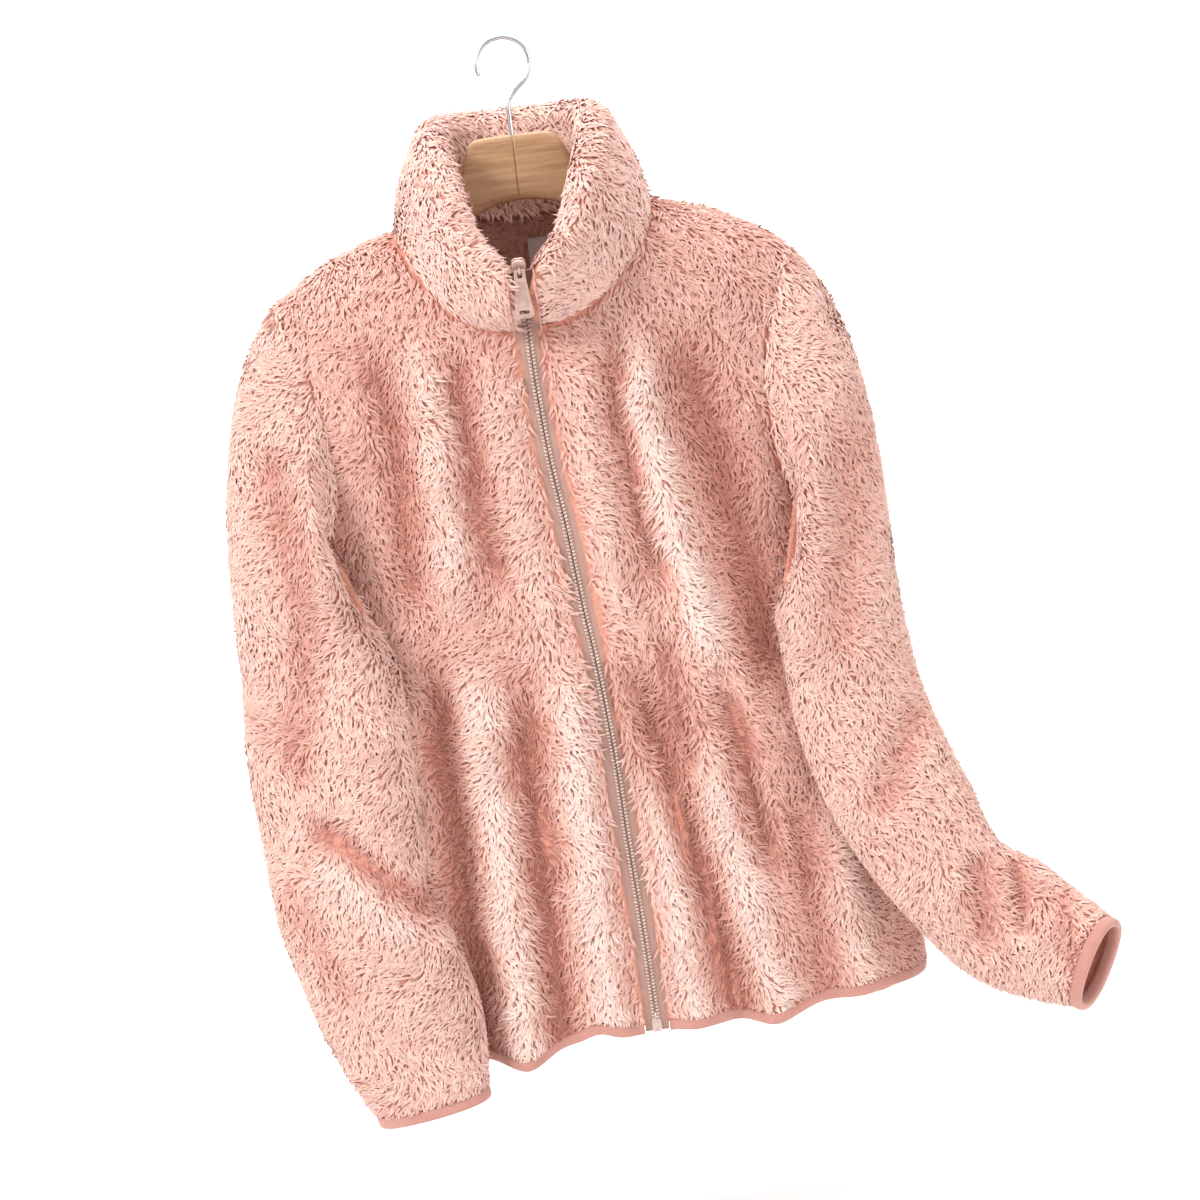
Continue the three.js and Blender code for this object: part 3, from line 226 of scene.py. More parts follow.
def fold_rise(folds, x, z):
    """Sum of bell-shaped ridges and troughs, each faded in and out along its line."""
    rise = np.zeros(np.broadcast(x, z).shape)
    for row in folds:
        fold = dict(zip(FOLD_COLUMNS, row))
        down = (fold["top_z"] - z) / (fold["top_z"] - fold["end_z"])
        inside = (down > 0) & (down < 1)
        middle = mix(fold["top_x"], fold["end_x"], down) + 4 * fold["bow"] * down * (1 - down)
        bell = np.exp(-(((x - middle) / fold["width"]) ** 2))
        rise = rise + inside * fold["rise"] * bell * ease(down * 5) * ease((1 - down) * 5)
    return rise


SHOULDER_SLOPE = (NECK_POINT["z"] - SHOULDER_TIP["z"]) / (SHOULDER_TIP["x"] - NECK_POINT["x"])


def shoulder_line(x, neck_rise):
    """Height of the shoulder's top line, which goes on up towards the neck inside the neck point."""
    out = np.abs(x) - NECK_POINT["x"]
    share = out / (SHOULDER_TIP["x"] - NECK_POINT["x"])
    sloping = NECK_POINT["z"] - SHOULDER_SLOPE * out + 4 * SHOULDER_CAMBER * share * (1 - share)
    return np.where(out < 0, NECK_POINT["z"] - out * neck_rise, sloping)


def body_y(face, x, z, grown=0.0):
    """y of the cloth: side seam plus depth times superellipse times shoulder roll, plus folds."""
    depth = read(BODY["z"], BODY["front" if face < 0 else "back"], z)
    side_y = read(BODY["z"], BODY["side_y"], z)
    half = read(BODY["z"], BODY["half_width"], z) + grown
    across = np.clip(np.abs(x - read(BODY["z"], BODY["centre_x"], z)) / half, 0, 1)
    section = (1 - across**SECTION_POWER) ** (1 / SECTION_POWER)
    neck_rise = 0.4 if face < 0 else 0.9
    below = np.clip((shoulder_line(x, neck_rise) - z) / SHOULDER_ROLL, 0, 1)
    roll = np.sqrt(1 - (1 - below) ** 3)
    folds = fold_rise(FRONT_FOLDS if face < 0 else BACK_FOLDS, x, z)
    folds = folds * (1 - across**8) * ease((below - 0.2) / 0.5)
    if face < 0:
        folds = folds * ease((np.abs(x - zip_x(z)) - ZIP_HALF) / 14)
    return side_y * roll + face * ((depth - face * side_y) * section * roll + folds)


print("depth at the chest", float(body_y(-1, 60.0, -300.0)), float(body_y(1, 60.0, -300.0)))

# %% [markdown]
# A panel is cut cloth with four edges, so its grid follows them: the zip or the middle on one side,
# the side seam and the armhole on the other, the hem below, and the neck and shoulder above. Rows
# of the grid are counted as on the solid, so both lie in one place, but here a row may be any
# number, and a panel can be made as fine as it is wanted.

# %% Edges of the panels
SIDE_ROWS = 12
ARMHOLE_ROWS = 11
PANEL_ROWS = SIDE_ROWS + ARMHOLE_ROWS
NECK_ROW = 16
HEM_TOP_Z = HEM_Z + BINDING_HEIGHT + SEAM_GAP


def up_share(row):
    """Share of the way up the armhole. Rows crowd towards the shoulder."""
    return 1 - (1 - np.clip(row / ARMHOLE_ROWS, 0, 1)) ** 1.5


def neck_station(row):
    """Station on the neck seam of a row of a front, from 0 at the zip to 5 at the shoulder."""
    share = np.clip((row - NECK_ROW) / (PANEL_ROWS - NECK_ROW), 0, 1)
    return 5 * (1 - (1 - share) ** 1.3)


def neck_position(side, station):
    """x and z on the neck seam, whose front is shifted with the zip."""
    shift = zip_x(NECK_FRONT_Z) * ease(1 - station / 5)
    at_zip = side * (ZIP_HALF + SEAM_GAP) * np.maximum(0, 1 - station)
    x = shift + at_zip + side * read_row(NECK_RING["x"], station)
    return x, read_row(NECK_RING["z"], station)


def armhole_point(side, face, share):
    """A point of the armhole's edge, a share of the way up from the underarm."""
    z = mix(UNDERARM_Z, SHOULDER_TIP["z"], share)
    outline = read(ARMHOLE["up"], ARMHOLE["front_x" if face < 0 else "back_x"], share)
    at_side = side_x(side, UNDERARM_Z) - side * ARMHOLE["front_x"][0]
    x = side * outline + (1 - share) ** 4 * at_side
    return points(x, np.where(share >= 1, 0, body_y(face, x, z)), z)


def outer_edge(side, face, row):
    """x and z of a panel's outer edge: the side seam, then the armhole."""
    low_z = mix(HEM_TOP_Z, UNDERARM_Z, np.clip(row / SIDE_ROWS, 0, 1))
    high = armhole_point(side, face, up_share(row - SIDE_ROWS))
    low = row <= SIDE_ROWS
    return np.where(low, side_x(side, low_z), high[..., 0]), np.where(low, low_z, high[..., 2])


def inner_edge(side, row):
    """x and z of a front's inner edge: beside the zip, then along the neck seam."""
    low = mix(HEM_TOP_Z, UNDERARM_Z, np.clip(row / SIDE_ROWS, 0, 1))
    rise = np.clip((row - SIDE_ROWS) / (NECK_ROW - SIDE_ROWS), 0, 1)
    z = np.where(row <= SIDE_ROWS, low, mix(UNDERARM_Z, NECK_FRONT_Z, rise))
    neck_x, neck_z = neck_position(side, neck_station(row))
    beside = row <= NECK_ROW
    return np.where(
        beside, zip_x(z) + side * (ZIP_HALF + SEAM_GAP), neck_x
    ), np.where(beside, z, neck_z)


def hemmed(x, z, extra_drop):
    """Lets the lower rows follow the hem's line, more and more towards the hem."""
    shift = HEM_SLOPE * (x - zip_x(HEM_Z))
    for middle, drop, width in zip(HEM_DIPS["x"], HEM_DIPS["drop"], HEM_DIPS["width"]):
        shift = shift - drop * np.exp(-(((x - middle) / width) ** 2))
    share = np.clip((UNDERARM_Z - z) / (UNDERARM_Z - HEM_Z), 0, 1)
    return z + (shift - extra_drop) * share**3


# %% Surfaces of the fronts and the back
def front_surface(side, across, row):
    """A front: across runs from the zip (0) to the side (1), eased like a quarter of a sine."""
    x0, z0 = inner_edge(side, row)
    x1, z1 = outer_edge(side, -1, row)
    above = ease((row - SIDE_ROWS) / (NECK_ROW - SIDE_ROWS))
    share = mix(np.sin(across * np.pi / 2), across, above)
    x = mix(x0, x1, share)
    camber = np.clip((row - NECK_ROW) / (PANEL_ROWS - NECK_ROW), 0, 1)
    z = mix(z0, z1, share) + 4 * SHOULDER_CAMBER * share * (1 - share) * camber**2
    on_seam = (row >= PANEL_ROWS) | ((across >= 1) & (row <= SIDE_ROWS))
    y = np.where(on_seam, seam_y(z) - SEAM_GAP / 2, body_y(-1, x, z))
    return points(x, np.minimum(y, seam_y(z) - SEAM_GAP / 2), hemmed(x, z, 0))


BACK_NECK_SHARE = 0.5


def back_surface(across, row):
    """The back: across runs from the wearer's right side (-1) to the left side (1)."""
    side = np.where(across < 0, -1.0, 1.0)
    far = np.abs(across)
    quarter = np.sin(far * np.pi / 2)
    edge_right = outer_edge(-1, 1, row)
    edge_left = outer_edge(1, 1, row)
    edge_x = np.where(across < 0, edge_right[0], edge_left[0])
    edge_z = np.where(across < 0, edge_right[1], edge_left[1])
    low_x = mix(read(BODY["z"], BODY["centre_x"], edge_z), edge_x, quarter)
    corner = BACK_CORNER["drop"] * np.exp(
        -(((low_x - BACK_CORNER["x"]) / BACK_CORNER["width"]) ** 2)
    )
    low_y = np.where(far >= 1, 0, body_y(1, low_x, edge_z))
    low_z = hemmed(low_x, edge_z, (BACK_HEM_DROP + corner) * (1 - far**3))
    low = points(low_x, np.maximum(low_y, seam_y(edge_z) + SEAM_GAP / 2), low_z)

    up = up_share(row - SIDE_ROWS)
    underarm_x = side_x(side, UNDERARM_Z)
    bottom_x = mix(read(BODY["z"], BODY["centre_x"], UNDERARM_Z), underarm_x, quarter)
    station = 9 - 4 * np.minimum(far / BACK_NECK_SHARE, 1)
    neck_x, neck_z = neck_position(side, station)
    out = (far - BACK_NECK_SHARE) / (1 - BACK_NECK_SHARE)
    on_neck = far < BACK_NECK_SHARE
    top_x = np.where(on_neck, neck_x, side * mix(NECK_POINT["x"], SHOULDER_TIP["x"], out))
    top_z = np.where(on_neck, neck_z, shoulder_line(top_x, 0))
    notch = edge_x - mix(underarm_x, side * SHOULDER_TIP["x"], up)
    x = mix(bottom_x, top_x, up) + notch * far**3
    z = mix(UNDERARM_Z, top_z, up)
    y = np.where((row >= PANEL_ROWS) & ~on_neck, 0, body_y(1, x, z))
    high = points(x, np.maximum(y, seam_y(z) + SEAM_GAP / 2), z)
    return np.where((row <= SIDE_ROWS)[..., None], low, high)


# %% [markdown]
# A sleeve is a flattened tube. Its lower part is a run of oval sections along a bent middle line. Its
# cap leaves the armhole outwards and turns down, and its inner half first comes forward so that it
# can lie on the front, as the photograph shows.

# %% Sizes of the sleeves
RIGHT, LEFT = -1, 1
SLEEVES = {
    RIGHT: {
        "x": [-192, -194, -192.5, -192, -177, -163.5, -153],
        "y": [-42, -44, -46, -48, -50, -50, -50],
        "z": [-443, -513, -573, -623, -674, -726, -781],
        "half_width": [63, 66, 64, 60, 63, 60, 46],
        "half_depth": [29, 29, 28, 29, 27, 25, 21],
        "turn": [20, 20, 18, 14, 10, 8, 6],
    },
    LEFT: {
        "x": [197, 202, 212, 231, 258, 298, 345],
        "y": [-40, -42, -46, -54, -62, -72, -112],
        "z": [-443, -503, -550, -602, -656, -693, -716],
        "half_width": [49, 51, 52, 51, 45, 50, 37],
        "half_depth": [29, 29, 29, 29, 28, 26, 24],
        "turn": [20, 20, 16, 10, 4, 0, 0],
    },
}
SLEEVE_FOLD_COLUMNS = ("x", "z", "to_x", "to_z", "rise", "width")
SLEEVE_FOLDS = {
    RIGHT: [
        (-206, -270, -190, -385, -7, 14),
        (-190, -385, -220, -520, -7, 16),
        (-210, -548, -128, -628, -10, 11),
        (-204, -580, -150, -640, 5, 12),
        (-238, -600, -200, -690, -5, 14),
    ],
    LEFT: [
        (222, -300, 190, -470, -5, 18),
        (246, -520, 205, -590, -6, 14),
        (274, -632, 272, -702, -8, 11),
        (300, -640, 300, -690, -9, 8),
        (326, -662, 334, -718, -6, 10),
    ],
}
SLEEVE_COLUMNS = 2 * ARMHOLE_ROWS
CAP_RINGS = 9
TUBE_RINGS = 16
SLEEVE_RINGS = CAP_RINGS + TUBE_RINGS
UNDERARM_PASS_Y = -34.0
SIDE_CLEARANCE = 3.5


# %% The sleeves' surface
def sleeve_frame(side, at):
    """Middle, way along, way out and way forward of a sleeve's section."""
    table = SLEEVES[side]
    last = len(table["x"]) - 1

    def middle(station):
        return points(*(read_row(table[name], station) for name in ("x", "y", "z")))

    along = unit(middle(np.minimum(at + 0.2, last)) - middle(np.maximum(at - 0.2, 0)))
    ahead = np.broadcast_to(np.array([0.0, -1.0, 0.0]), along.shape)
    forward = unit(ahead - along * (ahead * along).sum(-1, keepdims=True))
    across = np.cross(forward, along) * side
    turn = np.radians(read_row(table["turn"], at))[..., None]
    outwards = across * np.cos(turn) - forward * np.sin(turn)
    front = across * np.sin(turn) + forward * np.cos(turn)
    return middle(at), along, outwards, front


def oval(angle, exponent):
    """Cosine and sine of a superellipse: the plain ones raised to a power, with their signs kept."""
    c, s = np.cos(angle), np.sin(angle)
    return np.sign(c) * np.abs(c) ** exponent, np.sign(s) * np.abs(s) ** exponent


def tube_surface(side, at, angle):
    """The lower tube: angle 0 is the outer edge and a quarter turn is the front."""
    middle, _, outwards, front = sleeve_frame(side, at)
    c, s = oval(angle, 2 / SLEEVE_POWER)
    a = read_row(SLEEVES[side]["half_width"], at) * c
    b = read_row(SLEEVES[side]["half_depth"], at) * s
    return middle + outwards * a[..., None] + front * b[..., None]


def sleeve_rise(side, x, z, facing):
    """Short folds on a sleeve, full on its front and weaker on its back."""
    rise = np.zeros(np.broadcast(x, z).shape)
    for row in SLEEVE_FOLDS[side]:
        fold = dict(zip(SLEEVE_FOLD_COLUMNS, row))
        dx, dz = fold["to_x"] - fold["x"], fold["to_z"] - fold["z"]
        length = np.hypot(dx, dz)
        along = ((x - fold["x"]) * dx + (z - fold["z"]) * dz) / length**2
        across = ((x - fold["x"]) * dz - (z - fold["z"]) * dx) / (length * fold["width"])
        fade = ease(along * 4 + 0.5) * ease((1 - along) * 4 + 0.5)
        rise = rise + fold["rise"] * np.exp(-(across**2)) * fade
    return rise * np.where(facing > 0, facing, -0.6 * facing)


def in_front_of_body(side, p):
    """Keeps a sleeve's points clear of the front that it lies against."""
    x, y, z = np.moveaxis(p, -1, 0)
    level = np.maximum(z, HEM_Z)
    up = (z - UNDERARM_Z) / (SHOULDER_TIP["z"] - UNDERARM_Z)
    armhole_x = read(ARMHOLE["up"], ARMHOLE["front_x"], up) + 6.5
    edge = np.where(z > UNDERARM_Z, armhole_x, side * side_x(side, level) + SIDE_CLEARANCE)
    clear = body_y(-1, x, level, SIDE_CLEARANCE) - SLEEVE_BODY_GAP
    free = (side * x > edge) | (z < HEM_Z - 45)
    return points(x, np.where(free, y, np.minimum(y, clear)), z)


# Strengths of the curve that joins the armhole to the arm, where it leaves and where it arrives.
LEAVE = {"least": 93, "over_the_top": 107}
ARRIVE = {"outer": 200, "less_inside": 130}


def sleeve_surface(side, column, ring):
    """A whole sleeve. Its cap is a cubic from the armhole's edge to the tube's first section."""
    angle = column / SLEEVE_COLUMNS * 2 * np.pi
    last = len(SLEEVES[side]["x"]) - 1
    station = np.maximum(0, (ring - CAP_RINGS) / TUBE_RINGS) * last
    share = up_share(np.abs(ARMHOLE_ROWS - column))
    front_half = column <= ARMHOLE_ROWS
    seam = np.where(
        front_half[..., None], armhole_point(side, -1, share), armhole_point(side, 1, share)
    )
    seam[..., 1] = np.where(share <= 0, seam_y(UNDERARM_Z), seam[..., 1])
    start = seam + np.array([side * 1.5 * SEAM_GAP, 0, 0])
    end = tube_surface(side, np.zeros_like(angle), angle)
    t = np.clip(ring / CAP_RINGS, 0, 1)
    inner = np.maximum(0, -np.cos(angle))
    early = ease(t * mix(1, 3, inner))
    late = ease((t - 0.35 * inner) / (1 - 0.35 * inner))
    pass_y = mix(end[..., 1], UNDERARM_PASS_Y, inner)
    y = mix(mix(start[..., 1], pass_y, early), end[..., 1], late)
    cap = points(mix(start[..., 0], end[..., 0], late), y, mix(start[..., 2], end[..., 2], late))
    outward = LEAVE["least"] + LEAVE["over_the_top"] * np.maximum(0, np.cos(angle))
    forward = -70 * np.maximum(0, np.sin(angle)) - 10 * np.minimum(0, np.sin(angle))
    leave = points(side * outward, forward, -110 - 90 * np.cos(angle))
    arrive = sleeve_frame(side, np.zeros_like(angle))[1] * (
        ARRIVE["outer"] - ARRIVE["less_inside"] * inner
    )[..., None]
    cap = cap + leave * (t * (1 - t) ** 2)[..., None] - arrive * (t * t * (1 - t))[..., None]
    p = np.where((ring < CAP_RINGS)[..., None], cap, tube_surface(side, station, angle))
    fade = ease(ring / 3) * ease((SLEEVE_RINGS - ring) / 3)
    facing = np.sin(angle)
    rise = sleeve_rise(side, p[..., 0], p[..., 2], facing) * fade * np.sign(facing)
    p = p + sleeve_frame(side, station)[3] * rise[..., None]
    return np.where((ring <= 0)[..., None], p, in_front_of_body(side, p))


# %% [markdown]
# The collar is one band of fleece, folded over at the top. Its sections stand on the neck seam and
# lean towards the rolled edge, which is low in front and high behind the neck.

# %% The collar's surface
COLLAR_BASE = 18.0
ROLL_RADIUS = 13.0
LEAN_TOP_Y = -90.0


def neck_inward(side, station):
    """Way across the wall's edge at the neck seam: in, and down at the shoulders."""
    turned = np.where(station <= 5, station / 10, 0.5 + (station - 5) / 8) * np.pi
    slump = np.where(station <= 5, np.sin(turned) ** 2, 1 - ease((station - 5) / 2.5))
    return unit(points(-side * np.sin(turned), np.cos(turned), -slump))


def collar_surface(side, station, around):
    """The collar: around runs up the outside (0 to 1), over the roll (to 2) and down inside (3)."""
    x, z = neck_position(side, station)
    y = np.where(
        np.abs(station - 5) < 0.01, 0, np.where(station <= 5, body_y(-1, x, z), body_y(1, x, z))
    )
    shift = zip_x(NECK_FRONT_Z) * ease(1 - station / 5)
    at_zip = side * (ZIP_HALF + SEAM_GAP) * np.maximum(0, 1 - station)
    roll_x = shift + at_zip + side * read_row(ROLL_RING["x"], station)
    roll = points(roll_x, read_row(ROLL_RING["y"], station), read_row(ROLL_RING["z"], station))
    inwards = neck_inward(side, station)
    off_seam = unit(np.array([0.0, 0.0, 1.0]) - inwards * inwards[..., 2:])
    lift = np.where(station > 4.5, 7 * SEAM_GAP, 2 * SEAM_GAP)[..., None]
    base = points(x, y, z) + off_seam * lift
    inner_base = base + inwards * COLLAR_BASE + off_seam * 1.5
    up = unit(roll - (base + inner_base) / 2)
    level = unit(inwards * np.array([1.0, 1.0, 0.0]))
    inward = unit(level - up * (level * up).sum(-1, keepdims=True))
    outer_top = roll - inward * ROLL_RADIUS
    inner_top = roll + inward * ROLL_RADIUS
    climb = np.clip(around, 0, 1)[..., None]
    outside = mix(base, outer_top, climb) - inward * 5 * np.sin(climb * np.pi)
    angle = (np.clip(around - 1, 0, 1) * np.pi)[..., None]
    over = roll - inward * ROLL_RADIUS * np.cos(angle) + up * ROLL_RADIUS * np.sin(angle)
    inside = mix(inner_top, inner_base, np.clip(around - 2, 0, 1)[..., None])
    p = np.where((around < 1)[..., None], outside, over)
    return np.where((around > 2)[..., None], inside, p)

# %% [markdown]
# Blender takes a mesh as plain arrays. The helper below writes vertices and faces in one go with
# foreach_set, which stays quick even for the many thousand locks of pile.


# %% Meshes from arrays
def mesh_object(name, vertices, faces, slot, body=JACKET, smooth=True):
    """A mesh object from millimetre points and faces that all have the same number of corners."""
    vertices = np.asarray(vertices, np.float32).reshape(-1, 3) * METRES
    faces = np.asarray(faces, np.int32)
    mesh = bpy.data.meshes.new(name)
    mesh.vertices.add(len(vertices))
    mesh.vertices.foreach_set("co", vertices.ravel())
    mesh.loops.add(faces.size)
    mesh.loops.foreach_set("vertex_index", faces.ravel())
    mesh.polygons.add(len(faces))
    starts = np.arange(0, faces.size, faces.shape[1], dtype=np.int32)
    mesh.polygons.foreach_set("loop_start", starts)
    mesh.polygons.foreach_set("use_smooth", np.full(len(faces), smooth))
    mesh.update(calc_edges=True)
    piece = bpy.data.objects.new(name, mesh)
    bpy.context.collection.objects.link(piece)
    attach(piece, body)
    return piece


def grid_faces(columns, rows, closed=False):
    """Quads between the points of a grid, which closes on itself across its columns if asked."""
    i, j = np.meshgrid(
        np.arange(columns if closed else columns - 1), np.arange(rows - 1), indexing="ij"
    )
    k = (i + 1) % columns
    quads = np.stack([i * rows + j, k * rows + j, k * rows + j + 1, i * rows + j + 1], axis=-1)
    return quads.reshape(-1, 4)


def normals_of(grid, closed=False):
    """Normals of a grid: the cross product of its two slopes."""
    if closed:
        wrapped = np.concatenate([grid[-2:], grid, grid[:2]])
        across = np.gradient(wrapped, axis=0)[2:-2]
    else:
        across = np.gradient(grid, axis=0)
    return unit(np.cross(across, np.gradient(grid, axis=1)))


def two_layers(outer, inner, closed=False):
    """Points and quads of a thin shell between two grids, with its rims closed."""
    columns, rows = outer.shape[:2]
    quads = grid_faces(columns, rows, closed)
    number = np.arange(columns * rows).reshape(columns, rows)
    rims = [number[:, -1], number[::-1, 0]]
    if closed:
        rims = [np.append(rim, rim[0]) for rim in rims]
    else:
        rims += [number[-1, ::-1], number[0, :]]
    sides = [
        np.stack([r[1:], r[:-1], r[:-1] + number.size, r[1:] + number.size], axis=-1) for r in rims
    ]
    faces = np.concatenate([quads, quads[:, ::-1] + number.size, *sides])
    return np.concatenate([outer.reshape(-1, 3), inner.reshape(-1, 3)]), faces


# %% [markdown]
# Fleece is a knitted ground with pile drawn out of it. Modelled as hair it would be lost in the
# export, so each lock is a real little mesh: a bent spike with three sides. The locks follow a
# swirling field of directions, as brushed pile does, and each one takes its own tint.

# %% The pile
rng = np.random.default_rng(11)
GROUND_DEPTH = 2.6  # the knitted ground lies this far under the solid's surface
GROUND_THICKNESS = 1.4
SEAM_ALLOWANCE = {"on": 3.5, "dip": 1.5}  # the ground runs on past its seams, under its neighbour
LOCK = {"spacing": 2.6, "length": 10.5, "width": 1.15, "thickness": 0.6}
TRIM = {"share": 0.85, "least": 2.2}  # locks beside a binding are cut short
MOST_LOCKS = 33000  # at most this many locks on one piece of pile; keeps each piece of pile light enough to export
FOLD_SHADE_DEPTH = 11.0  # millimetres of trough or ridge that give the full change of painted shade in the pile
PAINTED_LIGHT_BY_PIECE = {"sleeves": 2.5, "collar": 3.0, "fronts": -1.0}  # painted light by piece, in the same measure: sleeves and collar lighter, fronts darker
SMOOTHINGS = 6  # how often a panel's normals are averaged with their neighbours'
SWIRLS = {"wave": [24.0, 48.0, 95.0], "turn": [0.16, 0.26, 0.34]}


def swirl(p, seed):
    """An angle at each point: a sum of sines whose waves run in different directions."""
    phases = np.random.default_rng(seed)
    angle = np.zeros(len(p))
    for wave, turn in zip(SWIRLS["wave"], SWIRLS["turn"]):
        ways = phases.normal(size=(3, 3))
        ways = ways / np.linalg.norm(ways, axis=1, keepdims=True) * 2 * np.pi / wave
        angle += turn * np.sin(p @ ways.T + phases.uniform(0, 2 * np.pi, 3)).sum(axis=1)
    return angle


def spread(grid, spacing, closed=False):
    """Evenly scattered places on a grid: the face, and where in the face, one for each spacing squared."""
    if closed:
        grid = np.concatenate([grid, grid[:1]])
    a = grid[1:, 1:] - grid[:-1, :-1]
    b = grid[1:, :-1] - grid[:-1, 1:]
    area = np.linalg.norm(np.cross(a, b), axis=-1) / 2
    count = min(int(area.sum() / spacing**2), MOST_LOCKS)
    step = np.arange(count)
    first = (0.5 + step * 0.7548776662) % 1
    second = (0.5 + step * 0.5698402910) % 1
    columns = np.concatenate([[0], np.cumsum(area.sum(axis=1))]) / area.sum()
    u = np.interp(first, columns, np.arange(len(columns)))
    i = np.minimum(u.astype(int), area.shape[0] - 1)
    within = np.cumsum(area, axis=1)
    within = within / within[:, -1:]
    j = np.minimum((within[i] < second[:, None]).sum(axis=1), area.shape[1] - 1)
    below = np.where(j > 0, within[i, np.maximum(j - 1, 0)], 0)
    v = (second - below) / np.maximum(within[i, j] - below, 1e-9)
    u = u - i + rng.normal(0, 0.15, count)
    v = v + rng.normal(0, 0.15, count)
    return i, j, np.clip(u, 0, 1)[:, None], np.clip(v, 0, 1)[:, None], area.sum()


def sample(values, i, j, u, v, closed=False):
    """Values of a grid at scattered places: the mean of four corners by their nearness."""
    k = (i + 1) % values.shape[0] if closed else i + 1
    low = values[i, j] * (1 - u) + values[k, j] * u
    return low * (1 - v) + (values[i, j + 1] * (1 - u) + values[k, j + 1] * u) * v


# A lock has two sides that meet in a ridge: two corners and the ridge at its root and at its bend,
# and a tip.
LOCK_FACES = np.array([[0, 3, 5], [0, 5, 2], [3, 6, 5], [1, 2, 5], [1, 5, 4], [5, 6, 4]])


def smoothed(normals, closed=False):
    """Normals averaged with their neighbours', which makes them shorter at tight bends. The pile
    leans alike round such a bend, and the ground lies less deep."""
    for _ in range(SMOOTHINGS):
        padded = np.pad(normals, ((1, 1), (0, 0), (0, 0)), "wrap" if closed else "edge")
        normals = padded[:-2] + 2 * padded[1:-1] + padded[2:]
        padded = np.pad(normals, ((0, 0), (1, 1), (0, 0)), "edge")
        normals = (padded[:, :-2] + 2 * padded[:, 1:-1] + padded[:, 2:]) / 16
    return normals


def grow_pile(
    name, grid, normals, comb, painted_shade_at, closed=False, size=1.0, seed=1, sink=None, bound=None
):
    """Locks on a surface. Root, bend and tip lie on a curve that leaves along the normal and leans
    over along the swirl, and the section is a low roof that turns with it."""
    i, j, u, v, area = spread(grid, LOCK["spacing"] * size, closed)
    root = sample(grid, i, j, u, v, closed)
    out = unit(sample(normals, i, j, u, v, closed))
    count = len(root)
    down = unit(comb(root) - out * (comb(root) * out).sum(-1, keepdims=True))
    side = np.cross(out, down)
    angle = (swirl(root, seed) + rng.normal(0, 0.42, count))[:, None]
    lean = down * np.cos(angle) + side * np.sin(angle)
    flat = np.cross(out, lean)
    length = LOCK["length"] * size * rng.uniform(0.75, 1.25, (count, 1))
    if bound is not None:
        steps = np.linalg.norm(np.diff(grid, axis=1), axis=-1)
        run = np.concatenate([np.zeros((len(grid), 1)), np.cumsum(steps, axis=1)], axis=1)
        off = run if bound == 0 else run[:, -1:] - run
        room = sample(off[..., None], i, j, u, v, closed)
        length = np.minimum(length, TRIM["share"] * room + TRIM["least"])
    rise = rng.uniform(0.75, 1.25, (count, 1)) * size
    curl = rng.normal(0, 0.22, (count, 1)) * length
    depth = GROUND_DEPTH if sink is None else sink
    base = root - out * (depth + 0.4)
    bend = root - out * (depth * 0.42) * (2 - rise) + lean * length * 0.3
    tip = root + out * (rise * 1.1 - 1.2) + lean * length * 0.95 + flat * curl
    width = LOCK["width"] * size * rng.uniform(0.8, 1.25, (count, 1))
    thick = LOCK["thickness"] * size * rng.uniform(0.8, 1.2, (count, 1))
    top = unit(out - lean * 0.5)
    corners = [base - flat * width * 0.8, base + flat * width * 0.8, base + top * thick]
    corners += [bend - flat * width, bend + flat * width, bend + top * thick * 1.7, tip]
    vertices = np.stack(corners, axis=1)
    faces = LOCK_FACES[None] + 7 * np.arange(count)[:, None, None]
    pile = mesh_object(name, vertices, faces.reshape(-1, 3), "fleece")
    # Colour of each lock. Red runs from root to tip: the darker roots are partly the pile's own deeper tone and partly
    # painted shade between the locks. Green is each lock's own random tone. Blue is painted shade from the folds,
    # darker in troughs and lighter on ridges.
    lock_tone_and_shade = pile.data.attributes.new("lock", "FLOAT_COLOR", "POINT")
    along = np.tile([0.0, 0.0, 0.0, 0.62, 0.62, 0.72, 1.0], count)
    streak = np.tile([-0.3, 0.3, 0.0, -0.3, 0.3, 0.0, 0.0], count)
    own = np.clip(np.repeat(rng.uniform(0, 1, count), 7) + streak, 0, 1)
    fold = np.repeat(np.clip(0.5 + painted_shade_at(root) / (2 * FOLD_SHADE_DEPTH), 0, 1), 7)
    lock_tone_and_shade.data.foreach_set("color", np.stack([along, own, fold, own * 0 + 1], axis=-1).ravel())
    print(name, count, "locks on", round(float(area) / 100), "square centimetres")
    return pile


def hanging_down(root):
    """Pile is combed down by its weight, and a little to the sides."""
    return points(np.clip(root[:, 0] / 400, -0.5, 0.5), 0.0, -1.0)


def collar_comb(root):
    """On the collar it leans to the wearer's left and down a little."""
    return np.broadcast_to(np.array([0.6, -0.3, -0.5]), root.shape)


def front_painted_shade(root):
    """Painted shade on the front's locks: darker in the troughs of its folds and lighter on their ridges, a painted
    shadow under the collar, and the fronts a little darker all over.
    """
    collar_shadow = np.exp(-(((root[:, 2] - NECK_FRONT_Z - 0.9 * np.abs(root[:, 0])) / 22) ** 2))
    return fold_rise(FRONT_FOLDS, root[:, 0], root[:, 2]) - 3 * collar_shadow + PAINTED_LIGHT_BY_PIECE["fronts"]


def back_painted_shade(root):
    # Painted shade: the back's locks are darker in the troughs of its folds and lighter on their ridges.
    return fold_rise(BACK_FOLDS, root[:, 0], root[:, 2])


def collar_painted_light(root):
    # Painted light: the whole collar is drawn a little lighter.
    return np.full(len(root), PAINTED_LIGHT_BY_PIECE["collar"])


# %% [markdown]
# Each panel gets a ground and its pile. The size of each piece's cut is listed at the end.


